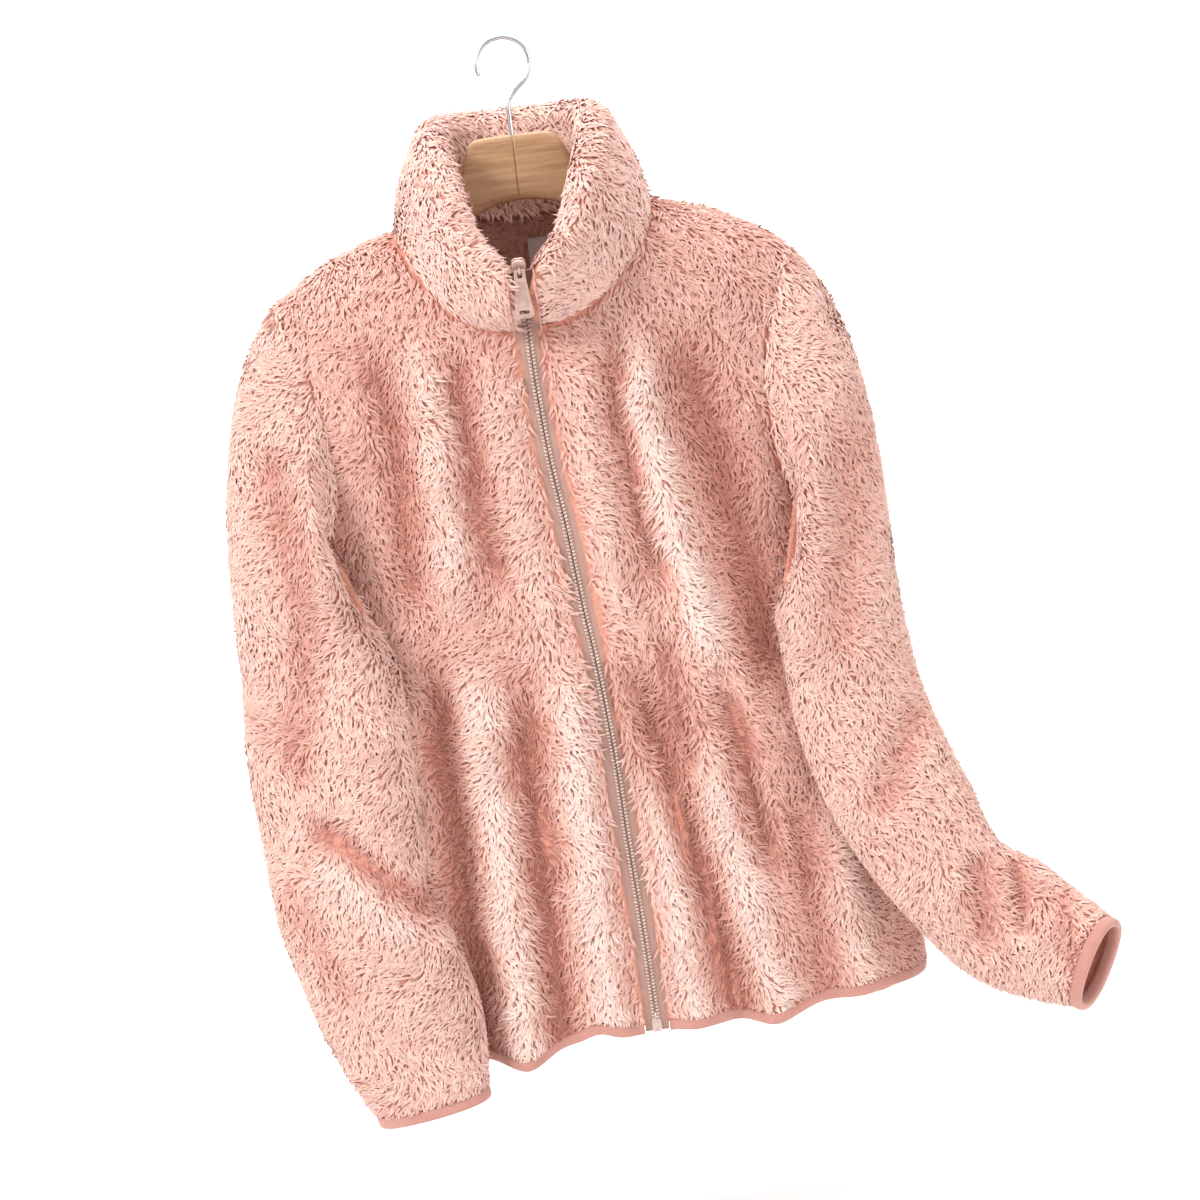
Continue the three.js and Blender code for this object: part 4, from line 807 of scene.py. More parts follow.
# %% Grounds and pile of the body
def panel_grid(surface, columns, rows):
    """Points of a panel from 0 (or -1) to 1 across and from the hem up to the shoulder."""
    low = -1 if surface is back_surface else 0
    across, row = np.meshgrid(
        np.linspace(low, 1, columns), np.linspace(0, PANEL_ROWS, rows), indexing="ij"
    )
    return surface(across, row)


def carried_on(grid, normals, closed=False):
    """Adds a row outside each open edge, a little further along the cloth's slope and deeper."""
    dip = SEAM_ALLOWANCE["dip"]
    on = SEAM_ALLOWANCE["on"]
    first = grid[:, :1] + unit(grid[:, :1] - grid[:, 1:2]) * on - normals[:, :1] * dip
    last = grid[:, -1:] + unit(grid[:, -1:] - grid[:, -2:-1]) * on - normals[:, -1:] * dip
    grid = np.concatenate([first, grid, last], axis=1)
    if closed:
        return grid
    normals = np.concatenate([normals[:, :1], normals, normals[:, -1:]], axis=1)
    first = grid[:1] + unit(grid[:1] - grid[1:2]) * on - normals[:1] * dip
    last = grid[-1:] + unit(grid[-1:] - grid[-2:-1]) * on - normals[-1:] * dip
    return np.concatenate([first, grid, last], axis=0)


def dress_panel(node, grid, out_way, painted_shade_at, closed=False, comb=hanging_down, seed=1, bound=0):
    """A ground on a node's form, and the pile that stands on it."""
    normals = smoothed(normals_of(grid, closed) * out_way, closed)
    coarse, ways = grid[::2, ::2], normals[::2, ::2]
    outer = carried_on(coarse - ways * GROUND_DEPTH, ways, closed)
    inner = carried_on(coarse - ways * (GROUND_DEPTH + GROUND_THICKNESS), ways, closed)
    if out_way < 0:
        outer, inner = inner, outer
    ground = mesh_object(node + "_ground", *two_layers(outer, inner, closed), "fleece")
    pile = grow_pile(node + "_pile", grid, normals, comb, painted_shade_at, closed, seed=seed, bound=bound)
    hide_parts(node)
    return ground, pile


back_grid = panel_grid(back_surface, 111, 121)
front_grids = {
    side: panel_grid(lambda a, r, s=side: front_surface(s, a, r), 65, 131) for side in (RIGHT, LEFT)
}
grounds, piles = {}, {}
grounds["back"], piles["back"] = dress_panel("back", back_grid, -1, back_painted_shade, seed=3)
grounds["front_left"], piles["front_left"] = dress_panel(
    "front_left", front_grids[LEFT], 1, front_painted_shade, seed=5
)
grounds["front_right"], piles["front_right"] = dress_panel(
    "front_right", front_grids[RIGHT], -1, front_painted_shade, seed=6
)

NECK_INSIDE = {"columns": slice(38, 73), "rows": slice(86, 121)}
inside_grid = back_grid[NECK_INSIDE["columns"], NECK_INSIDE["rows"]]
inside_ways = smoothed(normals_of(inside_grid))
inside_grid = inside_grid + inside_ways * (WALL - 1.5)


def sideways_comb(root):
    """Inside the neck the pile is pressed sideways by the hanger."""
    return np.broadcast_to(np.array([1.0, 0.0, -0.25]), root.shape)


grow_pile("back_inside", inside_grid, inside_ways, sideways_comb, back_painted_shade, seed=17, sink=2.0)

# %% Grounds and pile of the sleeves
for side, node, seed in ((LEFT, "sleeve_left", 8), (RIGHT, "sleeve_right", 9)):
    column, ring = np.meshgrid(
        np.linspace(
            0, SLEEVE_COLUMNS, 96, endpoint=False
        ), np.linspace(0, SLEEVE_RINGS, 131), indexing="ij"
    )
    grid = sleeve_surface(side, column, ring)

    def sleeve_painted_shade(root, side=side):
        # Painted light and shade: the sleeves a little lighter, and darker in the troughs of their folds.
        return PAINTED_LIGHT_BY_PIECE["sleeves"] + sleeve_rise(side, root[:, 0], root[:, 2], np.ones(len(root)))

    grounds[node], piles[node] = dress_panel(
        node, grid, side, sleeve_painted_shade, closed=True, seed=seed, bound=-1
    )

# %% Ground and pile of the collar
stations, rounds = np.linspace(0, 9, 80), np.linspace(0, 3, 47)
halves = {}
for side in (RIGHT, LEFT):
    station, around = np.meshgrid(stations, rounds, indexing="ij")
    halves[side] = collar_surface(side, station, around)
collar_grid = np.concatenate([halves[RIGHT][:-1], halves[LEFT][::-1]])
grounds["collar"], piles["collar"] = dress_panel(
    "collar", collar_grid, -1, collar_painted_light, comb=collar_comb, seed=14, bound=None
)

# The open ends of the band, beside the zip, are closed by a ruled face between its two walls.
for side, name in ((RIGHT, "right"), (LEFT, "left")):
    section = halves[side][0]
    half = len(section) // 2
    share = np.linspace(0, 1, 9)[:, None, None]
    end = mix(section[None, :half], section[None, :-half - 1:-1], share)
    way = np.zeros_like(end) + np.array([-side, 0.0, 0.0])
    grow_pile(
        "collar_end_" + name, end, way, collar_comb, collar_painted_light, size=0.8, seed=20 + side, sink=1.0
    )

# %% [markdown]
# The hem and the cuffs are bound with a strip of knit, folded round the raw edge. Its section is
# most of an oval, open where it takes in the fleece, and it is pulled in a little by its stitches.


# %% Bindings
BINDING = {
    "half_thick": 3.3, "half_tall": 5.2, "wall": 1.2, "inset": 4.0, "clear": -0.6, "open": 0.7
}
STITCH = {"pitch": 3.3, "length": 2.3, "radius": 0.42, "below_edge": 2.2}


def along_line(line, pitch, closed):
    """Points one pitch apart on a polyline, by its running length."""
    if closed:
        line = np.concatenate([line, line[:1]])
    length = np.concatenate([[0], np.cumsum(np.linalg.norm(np.diff(line, axis=0), axis=1))])
    count = int(length[-1] / pitch) + 1
    at = np.linspace(0, length[-1], count, endpoint=not closed)
    return np.stack([np.interp(at, length, line[:, k]) for k in range(3)], axis=-1), at


def bead_faces(rings, sides):
    """Quads of a bead, a closed grid of rings."""
    return grid_faces(sides, rings, closed=True)


def beads(name, centres, along, out, radii, slot, rings=5, sides=6, body=JACKET):
    """Many small beads: a sphere stretched by three radii along, across and out at each centre."""
    across = np.cross(along, out)
    polar, turn = np.meshgrid(
        np.linspace(0.02, np.pi - 0.02, rings), np.linspace(0, 2 * np.pi, sides, endpoint=False)
    )
    x, y, z = np.cos(polar), np.sin(polar) * np.cos(turn), np.sin(polar) * np.sin(turn)
    shape = [part[None, :, :, None] for part in (x * radii[0], y * radii[1], z * radii[2])]
    ways = [way[:, None, None, :] for way in (along, across, out)]
    vertices = centres[:, None, None, :] + sum(s * w for s, w in zip(shape, ways))
    faces = bead_faces(rings, sides)[None, :, ::-1] + rings * sides * np.arange(len(centres))[:, None, None]
    piece = mesh_object(name, vertices, faces.reshape(-1, 4), slot, body)
    print(name, len(centres), "beads")
    return piece


def set_uv(piece, u, v):
    """Gives every corner of a piece the u and v of its vertex, in millimetres."""
    layer = piece.data.uv_layers.new(name="UVMap")
    index = np.zeros(len(piece.data.loops), np.int32)
    piece.data.loops.foreach_get("vertex_index", index)
    pairs = np.stack([np.ravel(u)[index], np.ravel(v)[index]], axis=-1)
    layer.data.foreach_set("uv", pairs.astype(np.float32).ravel())


def bind(name, line, tall, node, closed, seed):
    """A folded strip along an edge line: section points by angle on an oval, open at the top."""
    line, at = along_line(line, 3.0, closed)
    count = len(line)
    tall = np.stack(
        [
            np.interp(
                np.linspace(0, 1, count), np.linspace(0, 1, len(tall)), tall[:, k]
            ) for k in range(3)
        ],
        axis=-1
    )
    if closed:
        tangent = unit(np.roll(line, -1, 0) - np.roll(line, 1, 0))
    else:
        tangent = unit(np.gradient(line, axis=0))
    thick = unit(np.cross(tangent, tall))
    drop = BINDING["half_tall"] + BINDING["clear"]
    centre = line - thick * BINDING["inset"] - tall * drop
    open_half = BINDING["open"]
    angle = np.linspace(np.pi / 2 - open_half, -1.5 * np.pi + open_half, 22)
    c, s = oval(angle, 0.75)
    waves = np.random.default_rng(seed)
    pucker = 1 + 0.07 * np.interp(
        at, np.arange(0, at[-1] + 9, 9), waves.normal(size=len(np.arange(0, at[-1] + 9, 9)))
    )
    layers = []
    for shrink in (0, BINDING["wall"]):
        a = (BINDING["half_thick"] - shrink) * pucker[:, None, None] * c[None, :, None]
        b = (BINDING["half_tall"] - shrink) * s[None, :, None]
        layers.append(centre[:, None] + thick[:, None] * a + tall[:, None] * b)
    vertices, faces = two_layers(layers[0], layers[1], closed)
    strip = mesh_object(name, vertices, faces, "binding")
    around = np.concatenate([[0], np.cumsum(np.linalg.norm(np.diff(layers[0][0], axis=0), axis=1))])
    u = np.broadcast_to(at[:, None], layers[0].shape[:2])
    v = np.broadcast_to(around[None], layers[0].shape[:2])
    set_uv(strip, np.concatenate([u.ravel(), u.ravel()]), np.concatenate([v.ravel(), v.ravel()]))
    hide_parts(node)
    level = BINDING["half_tall"] - STITCH["below_edge"]
    face = BINDING["half_thick"] * (1 - (level / BINDING["half_tall"]) ** 2.67) ** 0.375
    seam, _ = along_line(centre + thick * face + tall * level, STITCH["pitch"], closed)
    way = unit(
        np.roll(seam, -1, 0) - np.roll(seam, 1, 0)
    ) if closed else unit(np.gradient(seam, axis=0))
    out = unit(
        np.cross(
            way,
            np.stack(
                [
                    np.interp(
                        np.linspace(0, 1, len(seam)), np.linspace(0, 1, count), tall[:, k]
                    ) for k in range(3)
                ],
                axis=-1
            )
        )
    )
    radii = (STITCH["length"] / 2, STITCH["radius"], STITCH["radius"])
    beads(name + "_stitches", seam, way, out, radii, "binding", 4, 5)
    print(name, round(float(at[-1])), "mm long,", round(float(around[-1]), 1), "mm of strip")
    return strip, float(at[-1]), float(around[-1])


hem_line = np.concatenate(
    [front_grids[LEFT][:, 0], back_grid[::-1, 0][1:-1], front_grids[RIGHT][::-1, 0]]
)
UP = np.array([0.0, 0.0, 1.0])
bindings = {
    "hem": bind("hem_strip", hem_line, np.tile(UP, (len(hem_line), 1)), "hem_binding", False, 31)
}
for side, name in ((LEFT, "left"), (RIGHT, "right")):
    ring_column = np.linspace(0, SLEEVE_COLUMNS, 80, endpoint=False)
    end = sleeve_surface(side, ring_column, np.full(80, float(SLEEVE_RINGS)))
    if side == LEFT:
        end = end[::-1]
    last = np.array([len(SLEEVES[side]["x"]) - 1.0])
    along = sleeve_frame(side, last)[1][0]
    bindings[name] = bind(
        "cuff_strip_" + name, end, np.tile(-along, (80, 1)), "cuff_binding_" + name, True, 33 + side
    )

# %% [markdown]
# The zip runs from the hem to the collar. Its two tapes are woven strips, and its teeth look like
# two rows of small pearls that interlock, so they are beads on a cord, half a pitch apart.

# %% The zip's line
TEETH = {"pitch": 2.65, "row": 1.75, "long": 1.0, "wide": 1.5, "high": 1.0, "inset": 3.1}
TAPE = {"inset": 3.7, "thickness": 1.0, "rows": 190, "columns": 7, "from_middle": 0.2}
ZIP_BOX_HEIGHT = 9.0


def zip_frame(z):
    """Point, way up and way out of the zip's middle line, on the front and up the leaning collar."""
    z = np.asarray(z, float)

    def depth(at):
        low = body_y(-1, zip_x(at), at)
        foot = float(body_y(-1, zip_x(NECK_FRONT_Z), NECK_FRONT_Z))
        share = (at - NECK_FRONT_Z) / (ZIP_TOP_Z - NECK_FRONT_Z)
        return np.where(at <= NECK_FRONT_Z, low, mix(foot, LEAN_TOP_Y, share))

    step = 6
    way = unit(
        points(zip_x(z + step) - zip_x(z - step), depth(z + step) - depth(z - step), 2.0 * step)
    )
    out = unit(points(0.0, -way[..., 2], way[..., 1]))
    return points(zip_x(z), depth(z), z), way, out


# %% Tapes and teeth
def tape(side, name):
    """Half of the zip's cloth: x from the teeth to the front's edge, a little wavy along its length."""
    z = np.linspace(HEM_Z + 1, ZIP_TOP_Z, TAPE["rows"])
    point, way, out = zip_frame(z)
    across = np.linspace(TAPE["from_middle"], ZIP_HALF - 0.1, TAPE["columns"])
    wave = 0.3 * np.sin(z / 11.0 + side)[:, None] * (across / ZIP_HALF)[None]
    layers = []
    for depth in (0, TAPE["thickness"]):
        sunk = out[:, None] * (TAPE["inset"] + depth + wave)[..., None]
        layers.append(point[:, None] - sunk + side * across[None, :, None] * np.array([1.0, 0, 0]))
    if side > 0:
        layers = [layer[:, ::-1] for layer in layers]
    vertices, faces = two_layers(layers[1], layers[0])
    piece = mesh_object("tape_" + name, vertices, faces, "zip_tape")
    u = np.broadcast_to(z[:, None], wave.shape)
    v = np.broadcast_to(across[None], wave.shape)
    set_uv(piece, np.concatenate([u.ravel(), u.ravel()]), np.concatenate([v.ravel(), v.ravel()]))
    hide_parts("zip_tape_" + name)
    return piece


tapes = {"left": tape(LEFT, "left"), "right": tape(RIGHT, "right")}
teeth_z = np.arange(HEM_Z + ZIP_BOX_HEIGHT + 1.5, ZIP_TOP_Z - 0.5, TEETH["pitch"])
for side, name in ((LEFT, "left"), (RIGHT, "right")):
    z = teeth_z + (TEETH["pitch"] / 2 if side > 0 else 0)
    point, way, out = zip_frame(z)
    lean = unit(np.cross(way, out) * side + way * 0.35)
    centre = point - out * TEETH["inset"] + side * TEETH["row"] * np.array([1.0, 0, 0])
    row = beads(
        "teeth_" + name, centre, lean, out, (TEETH["wide"], TEETH["long"], TEETH["high"]),
        "zip_teeth", 7, 8
    )
    if side > 0:
        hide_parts("zip_teeth")

# %% [markdown]
# The slider and its tab are cast and coated. A flat curve with holes, given depth and a bevel, makes
# such a plate with soft edges, and becomes a mesh before it is put in its place.


# %% Plates with holes
def plate(name, outlines, half_depth, bevel, centre, ways, body):
    """A plate from outlines in millimetres: the first is its edge and the others are holes."""
    curve = bpy.data.curves.new(name, "CURVE")
    curve.dimensions = "2D"
    curve.fill_mode = "BOTH"
    curve.extrude = half_depth - bevel
    curve.bevel_depth = bevel
    curve.bevel_resolution = 2
    for outline in outlines:
        spline = curve.splines.new("POLY")
        spline.points.add(len(outline) - 1)
        for spot, (x, y) in zip(spline.points, outline):
            spot.co = (x, y, 0, 1)
        spline.use_cyclic_u = True
    flat = bpy.data.objects.new(name + "_curve", curve)
    bpy.context.collection.objects.link(flat)
    bpy.context.view_layer.update()
    mesh = bpy.data.meshes.new_from_object(
        flat.evaluated_get(bpy.context.evaluated_depsgraph_get())
    )
    bpy.data.objects.remove(flat)
    local = np.zeros(len(mesh.vertices) * 3, np.float32)
    mesh.vertices.foreach_get("co", local)
    local = local.reshape(-1, 3)
    placed = centre + sum(local[:, k : k + 1] * ways[k] for k in range(3))
    mesh.vertices.foreach_set("co", (placed * METRES).astype(np.float32).ravel())
    mesh.update()
    piece = bpy.data.objects.new(name, mesh)
    bpy.context.collection.objects.link(piece)
    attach(piece, body)
    return piece


def rounded(corners, radius, steps=4):
    """An outline with its corners rounded: short arcs as curves between points near each corner."""
    corners = np.asarray(corners, float)
    before = unit(np.roll(corners, 1, 0) - corners)
    after = unit(np.roll(corners, -1, 0) - corners)
    room = np.minimum(
        np.linalg.norm(np.roll(corners, 1, 0) - corners, axis=1),
        np.linalg.norm(np.roll(corners, -1, 0) - corners, axis=1)
    )
    reach = np.minimum(radius, room * 0.45)[:, None]
    t = np.linspace(0, 1, steps)[None, :, None]
    start, end = (corners + before * reach)[:, None], (corners + after * reach)[:, None]
    return ((1 - t) ** 2 * start + 2 * t * (1 - t) * corners[:, None] + t * t * end).reshape(-1, 2)


def tube(name, path, radius, slot, body=JACKET, sides=14, closed_ends=True):
    """A round wire: circles square to a path, turned to stay in its plane."""
    path = np.asarray(path, float)
    way = unit(np.gradient(path, axis=0))
    flat = unit(np.cross(way, np.array([0.0, 1.0, 0.01])))
    third = np.cross(way, flat)
    turn = np.linspace(0, 2 * np.pi, sides, endpoint=False)
    radius = np.broadcast_to(radius, (len(path),))
    if closed_ends:
        path = np.concatenate([path[:1], path, path[-1:]])
        flat, third = (np.concatenate([w[:1], w, w[-1:]]) for w in (flat, third))
        radius = np.concatenate([[0.02], radius, [0.02]])
    ring = np.cos(turn)[:, None, None] * flat + np.sin(turn)[:, None, None] * third
    grid = path[None] + ring * radius[None, :, None]
    return mesh_object(name, grid, grid_faces(sides, len(path), closed=True), slot, body)


# %% Slider and tab
SLIDER_LENGTH = 11.0
PULL_LENGTH = 33.0
PIVOT_OUT = 3.4
LOOP = {"radius": 2.1, "wire": 0.75, "from": -28, "to": 208, "points": 22}
BEHIND = {"slider_top": 0.9, "slider_wedge": 2.4, "slider_bottom": 3.9}  # from the slider's middle
zip_end = [part[0] for part in zip_frame([ZIP_TOP_Z])]
slider_middle = zip_end[0] + zip_end[1] * (SLIDER_LENGTH / 2 + SEAM_GAP)
SIDEWAYS = np.array([1.0, 0.0, 0.0])
slider_ways = (SIDEWAYS, zip_end[1], zip_end[2])
pivot = slider_middle + zip_end[2] * PIVOT_OUT
print("pivot", np.round(pivot, 3))
wing = [
    (-3.4, -5.5), (3.4, -5.5), (4.6, 0), (4.6, 3.5), (3, 5.5), (-3, 5.5), (-4.6, 3.5), (-4.6, 0)
]
upper = plate(
    "slider_top", [rounded(wing, 1.2)], 0.8, 0.5, slider_middle - zip_end[2] * BEHIND["slider_top"], slider_ways,
    JACKET
)
plate(
    "slider_bottom", [rounded(wing, 1.2)], 0.7, 0.4, slider_middle - zip_end[2] * BEHIND["slider_bottom"], slider_ways,
    JACKET
)
plate(
    "slider_wedge", [rounded([(-1.2, -2), (1.2, -2), (1.8, 5), (-1.8, 5)], 0.6)], 1.2, 0.2,
    slider_middle - zip_end[2] * BEHIND["slider_wedge"], slider_ways, JACKET
)
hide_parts("zip_slider")
loop_turn = np.linspace(np.radians(LOOP["from"]), np.radians(LOOP["to"]), LOOP["points"])
loop_up, loop_out = (LOOP["radius"] * wave(loop_turn)[:, None] for wave in (np.cos, np.sin))
loop = pivot + zip_end[1] * loop_up + zip_end[2] * loop_out
tube("slider_loop", loop, LOOP["wire"], "zip_metal", sides=10)

pull_ways = (SIDEWAYS, UP, np.array([0.0, -1.0, 0.0]))
L = PULL_LENGTH
tab_edge = rounded(
    [
        (-3.6, 1.0), (3.6, 1.0), (4.1, -8), (6.6, -L + 1.5), (5.2, -L), (-5.2, -L),
        (-6.6, -L + 1.5), (-4.1, -8)
    ],
    1.0
)
eye_hole = rounded([(-2.1, -0.9), (-2.1, -5.2), (2.1, -5.2), (2.1, -0.9)], 0.7)
slot_hole = rounded([(-3.8, -L + 5.5), (-4, -L + 2.6), (4, -L + 2.6), (3.8, -L + 5.5)], 0.9)
panel_edge = rounded([(-2.5, -7.2), (2.5, -7.2), (4.6, -L + 7.6), (-4.6, -L + 7.6)], 0.9)
rim = plate(
    "tab_rim", [tab_edge, eye_hole, slot_hole, panel_edge], 0.9, 0.3, pivot, pull_ways,
    PULL
)
floor_edge = rounded([(-3.0, -6.8), (3.0, -6.8), (5.1, -L + 7.1), (-5.1, -L + 7.1)], 0.9)
plate("tab_panel", [floor_edge], 0.42, 0.05, pivot, pull_ways, PULL)
pin_line = pivot + np.linspace(-3.3, 3.3, 5)[:, None] * SIDEWAYS
tube("tab_pin", pin_line, 0.75, "zip_metal", PULL, 12)
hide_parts("zip_pull")

# %% Box at the zip's foot
box_z = HEM_Z + ZIP_BOX_HEIGHT / 2 + 0.7
box_point = [part[0] for part in zip_frame([box_z])]
box_ways = (SIDEWAYS, UP, np.array([0.0, -1.0, 0.0]))
box_edge = rounded(
    [(-3.1, -4.4), (3.1, -4.4), (3.1, 3.4), (2.3, 4.4), (-2.3, 4.4), (-3.1, 3.4)], 0.8
)
box_middle = box_point[0] + np.array([0.0, 3.9, 0.0])
zip_box = plate("zip_foot", [box_edge], 1.7, 0.6, box_middle, box_ways, JACKET)
plate(
    "zip_foot_pin", [rounded([(-0.5, -3.6), (0.5, -3.6), (0.5, 4.2), (-0.5, 4.2)], 0.3)], 0.3, 0.1,
    box_middle + np.array([0.0, -1.7, 0.0]), box_ways, JACKET
)
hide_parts("zip_box")

# %% [markdown]
# The hanger is two halves of solid wood that meet in the middle. The wood's arms slope with the
# shoulders, and its top is flat where the wire hook is screwed in.

# %% Hanger and hook
HANGER = {"half": 7.0, "top_z": -69.0, "end_x": 178.0, "groove": 0.16}
CLOTH_OVER_WOOD = WALL + 0.6
HANGER_TOP = {
    "x": [0.15, 26, 33, 38, 42, 49, 60, 74, 92, 108, 124, 140, 156, 168, 175, 178],
}
ARM_HEIGHT = {"at_neck": 36.0, "at_end": 18.0}


def hanger_line(x):
    """Top edge of the wood: the flat middle, the fall beside it, and the sloping arm."""
    near = [HANGER["top_z"], -69.6, -73, -82, -93, -110, -129, -141]
    far_x = np.array(HANGER_TOP["x"][8:])
    drop = np.where(far_x < NECK_POINT["x"], 5, 4 * ease((far_x - 150) / (HANGER["end_x"] - 150)))
    far = shoulder_line(np.maximum(far_x, NECK_POINT["x"]), 0) - CLOTH_OVER_WOOD * 1.08 - drop
    return read(HANGER_TOP["x"], np.concatenate([near, far]), x)


def hanger_half(side, name):
    """Sections along the arm: a superellipse a little squarer than an oval, from top to underside."""
    x = np.concatenate(
        [[0.05, 0.4, 0.8], np.linspace(1.3, 60, 60), np.linspace(62, HANGER["end_x"], 60)]
    )
    top = hanger_line(x)
    line = shoulder_line(np.maximum(x, NECK_POINT["x"]), 0) - CLOTH_OVER_WOOD
    under = line - mix(ARM_HEIGHT["at_neck"], ARM_HEIGHT["at_end"], ease((x - 90) / 95))
    bottom = np.maximum(-117 - x**2 / 150, under)
    middle, tall = (top + bottom) / 2, (top - bottom) / 2
    end = np.clip((HANGER["end_x"] - x) / 6, 0, 1)
    narrow = np.sqrt(1 - (1 - end) ** 2) * 0.999 + 0.001
    turn = np.linspace(0, 2 * np.pi, 36, endpoint=False)
    c, s = oval(turn, 0.7)
    groove = 1 - HANGER["groove"] * np.exp(-((x / 0.6) ** 2))
    y = HANGER["half"] * c[:, None] * narrow * groove
    z = middle + tall * s[:, None] * narrow
    grid = points(np.broadcast_to(side * x, y.shape), y, z)
    cap = grid[:, :1].mean(axis=0, keepdims=True) + np.zeros((len(turn), 1, 3))
    end_cap = grid[:, -1:].mean(axis=0, keepdims=True) + np.zeros((len(turn), 1, 3))
    grid = np.concatenate([cap, grid[:, :1], grid, grid[:, -1:], end_cap], axis=1)
    if side < 0:
        grid = grid[::-1]
    half = mesh_object(
        "hanger_wood_" + name, grid, grid_faces(len(turn), grid.shape[1], closed=True), "wood"
    )
    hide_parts("hanger_" + name)
    return half


hanger = {name: hanger_half(side, name) for side, name in ((LEFT, "left"), (RIGHT, "right"))}
HOOK = {"wire": 1.7, "radius": 18.0}
turn = np.radians(np.arange(-42, 201, 5))
bend_line = HOOK["radius"] + HOOK["wire"]
bow = points(bend_line * np.cos(turn), 0.0, -HOOK["radius"] + bend_line * np.sin(turn))
stem = np.array(
    [
        [0, 0, z] for z in (-82.0, -70.0, -58.0, -50.0, -47.0)
    ] + [[0.9, 0, -44.0], [3.5, 0, -40.5], [8.0, 0, -36.0]]
)
hook_line, _ = along_line(np.concatenate([stem, bow]), 2.0, False)
for _ in range(3):
    hook_line[1:-1] = (hook_line[:-2] + 2 * hook_line[1:-1] + hook_line[2:]) / 4
hook = tube("hook_wire", hook_line, HOOK["wire"], "steel")
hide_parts("hook")

# %% Label inside the neck
LABEL = {
    "low_x": 1.0, "high_x": 31.0, "low_z": -170.0, "high_z": -146.0, "proud": 1.6, "thickness": 0.5
}
label_x, label_z = np.meshgrid(
    np.linspace(
        LABEL["high_x"], LABEL["low_x"], 26
    ), np.linspace(LABEL["low_z"], LABEL["high_z"], 20), indexing="ij"
)
curl = 1.3 * ease(
    (LABEL["low_z"] + 8 - label_z) / 8
) + 0.4 * np.sin(label_x / 6) * ease((LABEL["high_z"] - label_z) / 12)
label_layers = []
for depth in (0.0, LABEL["thickness"]):
    label_y = body_y(1, label_x, label_z) - WALL - LABEL["proud"] + depth - curl
    label_layers.append(points(label_x, label_y, label_z))
label_piece = mesh_object("label_cloth", *two_layers(label_layers[1], label_layers[0]), "label")
set_uv(label_piece, np.tile(label_x.ravel(), 2), np.tile(label_z.ravel(), 2))
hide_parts("label")

# %% [markdown]
# Materials are written as sums. A small class wraps a node's socket, so that tint * 0.3 + grain is
# a line of Python and Blender gets the Math nodes for it.


# %% Shader helper
class Wire:
    """A socket that can be added to, multiplied and so on."""

    def __init__(self, tree, socket):
        self.tree = tree
        self.socket = socket

    def node(self, kind, settings=None, **inputs):
        """Any other node: its settings first, then values or links for its sockets by name."""
        made = self.tree.nodes.new(kind)
        for key, value in (settings or {}).items():
            if key == "ramp":
                while len(made.color_ramp.elements) < len(value):
                    made.color_ramp.elements.new(0.5)
                for stop, (place, colour) in zip(made.color_ramp.elements, value):
                    stop.position = place
                    stop.color = (*colour, 1)
            else:
                setattr(made, key, value)
        for key, value in inputs.items():
            socket = made.inputs[int(key[1:])] if key[0] == "_" and key[1:].isdigit() else made.inputs[key.replace("_", " ")]
            if isinstance(value, Wire):
                self.tree.links.new(value.socket, socket)
            else:
                socket.default_value = value
        return made

    def out(self, made, name):
        """One of a node's outputs, wrapped."""
        return Wire(self.tree, made.outputs[name])

    def sum_of(self, operation, first, second):
        made = self.node("ShaderNodeMath", {"operation": operation}, _0=first, _1=second)
        return self.out(made, "Value")

    def __add__(self, other):
        return self.sum_of("ADD", self, other)

    __radd__ = __add__

    def __mul__(self, other):
        return self.sum_of("MULTIPLY", self, other)

    __rmul__ = __mul__

    def __sub__(self, other):
        return self.sum_of("SUBTRACT", self, other)

    def __rsub__(self, other):
        return self.sum_of("SUBTRACT", other, self)


def material(name, roughness, **shader):
    """A new material with its constants on the shader, and a wire to build from."""
    made = bpy.data.materials.new(name)
    made.use_nodes = True
    tree = made.node_tree
    principled = tree.nodes["Principled BSDF"]
    principled.inputs["Roughness"].default_value = roughness
    for key, value in shader.items():
        principled.inputs[key.replace("_", " ")].default_value = value
    start = Wire(tree, None)
    place = start.node("ShaderNodeTexCoord")
    return made, start, principled, place


def noise(w, place, scale, detail=2.0, output="Object"):
    """Cloudy noise whose waves are about 1 / scale metres."""
    made = w.node(
        "ShaderNodeTexNoise", None, Vector=w.out(place, output), Scale=scale, Detail=detail
    )
    return w.out(made, "Fac")


def finish_material(w, principled, colour, height=None, distance=0.001, strength=1.0, rough=None):
    """Links a colour, and a height as bump, to the shader."""
    w.tree.links.new(colour.socket, principled.inputs["Base Color"])
    if rough is not None:
        w.tree.links.new(rough.socket, principled.inputs["Roughness"])
    if height is not None:
        bump = w.node("ShaderNodeBump", None, Height=height, Distance=distance, Strength=strength)
        w.tree.links.new(bump.outputs["Normal"], principled.inputs["Normal"])


def ramp(w, value, *stops):
    """A colour ramp over a value."""
    return w.out(w.node("ShaderNodeValToRGB", {"ramp": stops}, Fac=value), "Color")


def put(pieces, made):
    """Gives pieces one material."""
    for piece in pieces:
        piece.data.materials.clear()
        piece.data.materials.append(made)


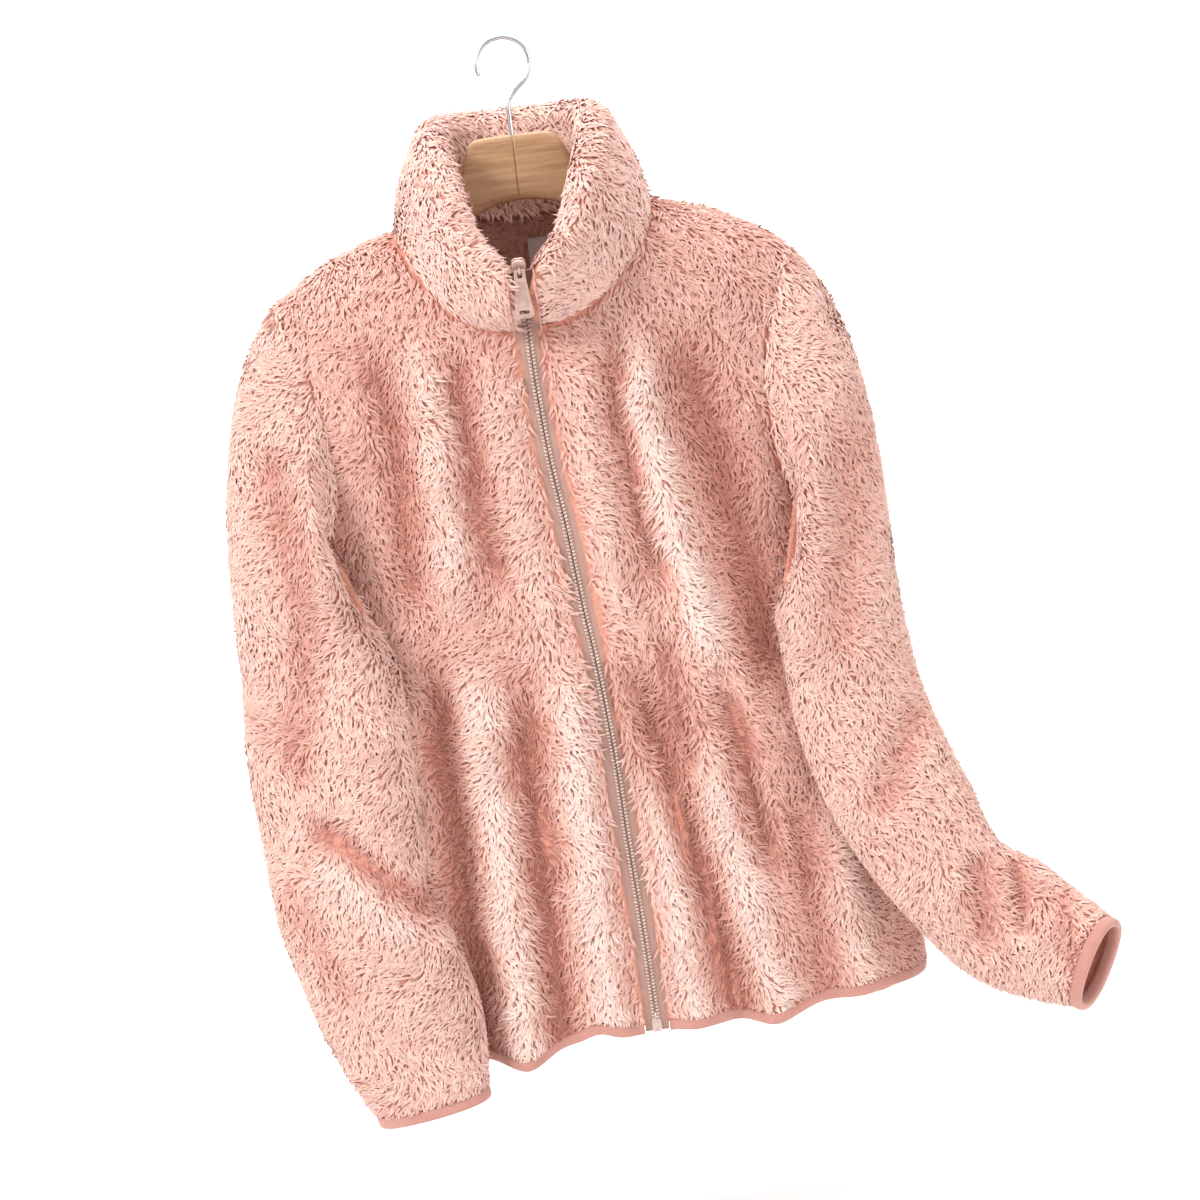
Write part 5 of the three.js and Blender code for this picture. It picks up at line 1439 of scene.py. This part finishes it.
# %% Fleece
PILE_ROOT, PILE_LOW = (0.44, 0.16, 0.115), (0.65, 0.31, 0.245)
PILE_MID, PILE_TIP = (0.80, 0.48, 0.40), (0.94, 0.705, 0.625)
fleece, w, shader, place = material("fleece_pile", 0.85, Sheen_Weight=0.25, Sheen_Roughness=0.5)
lock = w.node("ShaderNodeAttribute", {"attribute_name": "lock"})
split = w.node("ShaderNodeSeparateColor", None, Color=w.out(lock, "Color"))
along, own, fold = w.out(split, "Red"), w.out(split, "Green"), w.out(split, "Blue")
patches = noise(w, place, 22.0)
# Painted shade in the pile's colour: the fold channel makes locks darker and redder in troughs, under the collar and
# on the fronts, and lighter on ridges, sleeves and collar. The root-to-tip channel darkens the roots, partly the
# pile's own deeper tone and partly painted shade between the locks. The own tone and the patches are the pile's random
# tone.
level = along * 0.28 + own * 0.34 + patches * 0.16 + fold * 1.15 - 0.49
colour = ramp(w, level, (0.0, PILE_ROOT), (0.3, PILE_LOW), (0.62, PILE_MID), (1.0, PILE_TIP))
finish_material(w, shader, colour, noise(w, place, 1400.0), 0.0006, 0.5)

GROUND_DARK, GROUND_LIGHT = (0.62, 0.235, 0.165), (0.78, 0.36, 0.27)
ground_material, w, shader, place = material("fleece_ground", 0.9, Sheen_Weight=0.2)
grain = noise(w, place, 420.0, 3.0)
colour = ramp(w, grain, (0.3, GROUND_DARK), (0.7, GROUND_LIGHT))
finish_material(w, shader, colour, grain, 0.0012, 0.8)
fleece_pieces = [
    o for o in bpy.context.scene.objects if o.name.endswith("_pile") or o.name.startswith(
        ("collar_end", "back_inside")
    )
]
put(fleece_pieces, fleece)
put(grounds.values(), ground_material)

# %% Knit of the bindings
knit, w, shader, place = material("binding_knit", 0.75, Sheen_Weight=0.3)
uv = w.node("ShaderNodeSeparateXYZ", None, Vector=w.out(place, "UV"))
run = w.out(uv, "X")
ribs = w.out(w.node("ShaderNodeMath", {"operation": "SINE"}, _0=run * 6.0), "Value")
rows = w.out(w.node("ShaderNodeMath", {"operation": "SINE"}, _0=w.out(uv, "Y") * 7.5), "Value")
height = ribs * 0.3 + rows * 0.2 + noise(w, place, 900.0) * 0.6
shade = noise(w, place, 60.0) * 0.5 + ribs * 0.08 + 0.2
colour = ramp(w, shade, (0.1, (0.50, 0.215, 0.17)), (0.9, (0.72, 0.36, 0.30)))
finish_material(w, shader, colour, height, 0.0004, 0.7)
put([o for o in bpy.context.scene.objects if o.name.startswith(("hem_strip", "cuff_strip"))], knit)

# %% Zip
weave, w, shader, place = material("zip_weave", 0.8)
uv = w.node("ShaderNodeSeparateXYZ", None, Vector=w.out(place, "UV"))
warp = w.out(
    w.node("ShaderNodeMath", {"operation": "SINE"}, _0=w.out(uv, "X") * 5.2 + w.out(uv, "Y") * 4.0),
    "Value"
)
weft = w.out(w.node("ShaderNodeMath", {"operation": "SINE"}, _0=w.out(uv, "Y") * 9.0), "Value")
height = warp * 0.5 + weft * 0.4
colour = ramp(w, height * 0.4 + 0.5, (0.1, (0.40, 0.225, 0.18)), (0.9, (0.60, 0.375, 0.31)))
finish_material(w, shader, colour, height, 0.0003, 0.6)
put(tapes.values(), weave)

pearl, w, shader, place = material("teeth_pearl", 0.35, Coat_Weight=0.3)
colour = ramp(w, noise(w, place, 300.0), (0.3, (0.50, 0.37, 0.31)), (0.7, (0.70, 0.57, 0.49)))
finish_material(w, shader, colour)
put([o for o in bpy.context.scene.objects if o.name.startswith(("teeth_", "zip_foot"))], pearl)

coated, w, shader, place = material("coated_metal", 0.42, Metallic=0.35, Coat_Weight=0.25)
colour = ramp(w, noise(w, place, 180.0), (0.3, (0.52, 0.34, 0.28)), (0.7, (0.68, 0.48, 0.41)))
finish_material(w, shader, colour, noise(w, place, 1500.0), 0.0001, 0.3)
put([o for o in bpy.context.scene.objects if o.name.startswith(("slider_", "tab_"))], coated)

# %% Wood, steel and label
wood, w, shader, place = material("hanger_wood", 0.45, Coat_Weight=0.25, Coat_Roughness=0.3)
stretch = w.node("ShaderNodeMapping", None, Vector=w.out(place, "Object"), Scale=(3.0, 60.0, 60.0))
grain = w.out(
    w.node(
        "ShaderNodeTexNoise", None, Vector=w.out(stretch, "Vector"), Scale=4.0, Detail=6.0,
        Distortion=0.6
    ),
    "Fac"
)
pores = w.out(
    w.node("ShaderNodeTexNoise", None, Vector=w.out(stretch, "Vector"), Scale=26.0, Detail=3.0),
    "Fac"
)
colour = ramp(
    w, grain * 0.7 + pores * 0.3, (0.32, (0.31, 0.155, 0.068)), (0.5, (0.46, 0.26, 0.13)),
    (0.7, (0.57, 0.345, 0.185))
)
finish_material(w, shader, colour, pores, 0.0003, 0.3)
put(hanger.values(), wood)

steel, w, shader, place = material("hook_steel", 0.22, Metallic=1.0)
colour = ramp(w, noise(w, place, 90.0), (0.3, (0.55, 0.56, 0.58)), (0.7, (0.72, 0.73, 0.75)))
finish_material(w, shader, colour, noise(w, place, 700.0), 0.00005, 0.3)
put([hook], steel)

label_weave, w, shader, place = material("label_weave", 0.7)
uv = w.node("ShaderNodeSeparateXYZ", None, Vector=w.out(place, "UV"))
lines = w.out(w.node("ShaderNodeMath", {"operation": "SINE"}, _0=w.out(uv, "Y") * 12.0), "Value")
colour = ramp(
    w, lines * 0.2 + noise(w, place, 500.0) * 0.6 + 0.2, (0.2, (0.86, 0.83, 0.80)),
    (0.8, (0.96, 0.95, 0.93))
)
finish_material(w, shader, colour, lines, 0.0002, 0.5)
put([label_piece], label_weave)

# %% [markdown]
# The camera stands where the photographer stood: level with the middle of the jacket but a little
# above it, two metres away, and rolled a few degrees because the jacket hangs tilted in the picture.

# %% Camera
TARGET = np.array([21.5, 0.0, -422.3])
CAMERA = {"distance": 1900.0, "elevation": 9.0, "roll": 7.2, "frame": 912.0}
e, r = np.radians(CAMERA["elevation"]), np.radians(CAMERA["roll"])
up0 = np.array([0.0, np.sin(e), np.cos(e)])
back_way = np.array([0.0, -np.cos(e), np.sin(e)])
right = np.cos(r) * SIDEWAYS - np.sin(r) * up0
up = np.sin(r) * SIDEWAYS + np.cos(r) * up0
camera_data = bpy.data.cameras.new("camera")
camera_data.sensor_width = 36.0
camera_data.lens = camera_data.sensor_width * CAMERA["distance"] / CAMERA["frame"]
camera_data.clip_start, camera_data.clip_end = 0.05, 60.0
camera = bpy.data.objects.new("camera", camera_data)
bpy.context.collection.objects.link(camera)
from mathutils import Matrix

place_of = Matrix.Identity(4)
for row, way in enumerate((right, up, back_way)):
    for k in range(3):
        place_of[k][row] = way[k]
    place_of[row][3] = (TARGET[row] + back_way[row] * CAMERA["distance"]) * METRES
camera.matrix_world = place_of
bpy.context.scene.camera = camera
print("lens", round(camera_data.lens, 2))

# %% Floor and light
FLOOR_Z = -0.9
sweep_y = np.concatenate(
    [
        np.linspace(-3.0, 1.6, 12), 1.6 + 1.4 * np.sin(np.linspace(0.1, np.pi / 2, 14)),
        np.full(8, 3.0)
    ]
)
sweep_z = np.concatenate(
    [np.zeros(12), 1.4 - 1.4 * np.cos(np.linspace(0.1, np.pi / 2, 14)), np.linspace(1.8, 6.0, 8)]
) + FLOOR_Z
sweep = points(
    *np.broadcast_arrays(np.linspace(-5, 5, 24)[:, None], sweep_y[None], sweep_z[None])
) / METRES
floor_mesh = bpy.data.meshes.new("floor")
floor_mesh.from_pydata(
    (sweep.reshape(-1, 3) * METRES).tolist(), [], grid_faces(24, len(sweep_y)).tolist()
)
floor = bpy.data.objects.new("floor", floor_mesh)
bpy.context.collection.objects.link(floor)
for polygon in floor_mesh.polygons:
    polygon.use_smooth = True
paper, w, shader, place = material("paper", 0.9, Specular_IOR_Level=0.1)
colour = ramp(w, noise(w, place, 2.0), (0.3, (0.90, 0.90, 0.90)), (0.7, (0.92, 0.92, 0.92)))
finish_material(w, shader, colour)
put([floor], paper)

world = bpy.data.worlds.new("studio")
world.use_nodes = True
world.node_tree.nodes["Background"].inputs["Color"].default_value = (1.0, 0.985, 0.97, 1)
world.node_tree.nodes["Background"].inputs["Strength"].default_value = 0.55
bpy.context.scene.world = world


def soft_light(name, where, towards, width, power):
    """A square lamp that faces a point."""
    lamp = bpy.data.lights.new(name, "AREA")
    lamp.size = width
    lamp.energy = power
    holder = bpy.data.objects.new(name, lamp)
    bpy.context.collection.objects.link(holder)
    back = unit(np.array(where, float) - np.array(towards, float))
    side_way = unit(np.cross(np.array([0.0, 0.0, 1.0]), back))
    frame_ways = (side_way, np.cross(back, side_way), back)
    turn_to = Matrix.Identity(4)
    for column, way in enumerate(frame_ways):
        for k in range(3):
            turn_to[k][column] = way[k]
        turn_to[column][3] = where[column]
    holder.matrix_world = turn_to
    return holder


MIDDLE = (0.02, 0.0, -0.42)
soft_light("key", (-1.8, -1.3, 0.9), MIDDLE, 0.9, 47)
soft_light("fill", (1.7, -1.6, 0.1), MIDDLE, 1.6, 22)
soft_light("top", (0.1, 0.2, 1.6), MIDDLE, 1.2, 16)
soft_light("backdrop", (0.0, 0.9, 1.8), (0.0, 3.0, 0.2), 2.4, 90)
bpy.context.scene.view_settings.view_transform = "Standard"

# %% Sizes of the cut cloth, and the end
CUTS = {  # width and length of the rectangle it is cut from, and its own flat area
    "back": (0.47, 0.66, 0.259),
    "front_left": (0.25, 0.63, 0.124),
    "front_right": (0.25, 0.63, 0.126),
    "sleeve_left": (0.35, 0.62, 0.149),
    "sleeve_right": (0.38, 0.64, 0.172),
    "collar": (0.48, 0.17, 0.076),
}
BOUND_BY = {"back": "hem", "sleeve_left": "left", "sleeve_right": "right"}
for node, (width, length, area) in CUTS.items():
    on_it = [piles[node]]
    if node in BOUND_BY:
        strip = bindings[BOUND_BY[node]][0]
        on_it += [strip, bpy.data.objects[strip.name + "_stitches"]]
for name, piece in tapes.items():
    teeth_row = bpy.data.objects["teeth_" + name]
    grounds["front_" + name]
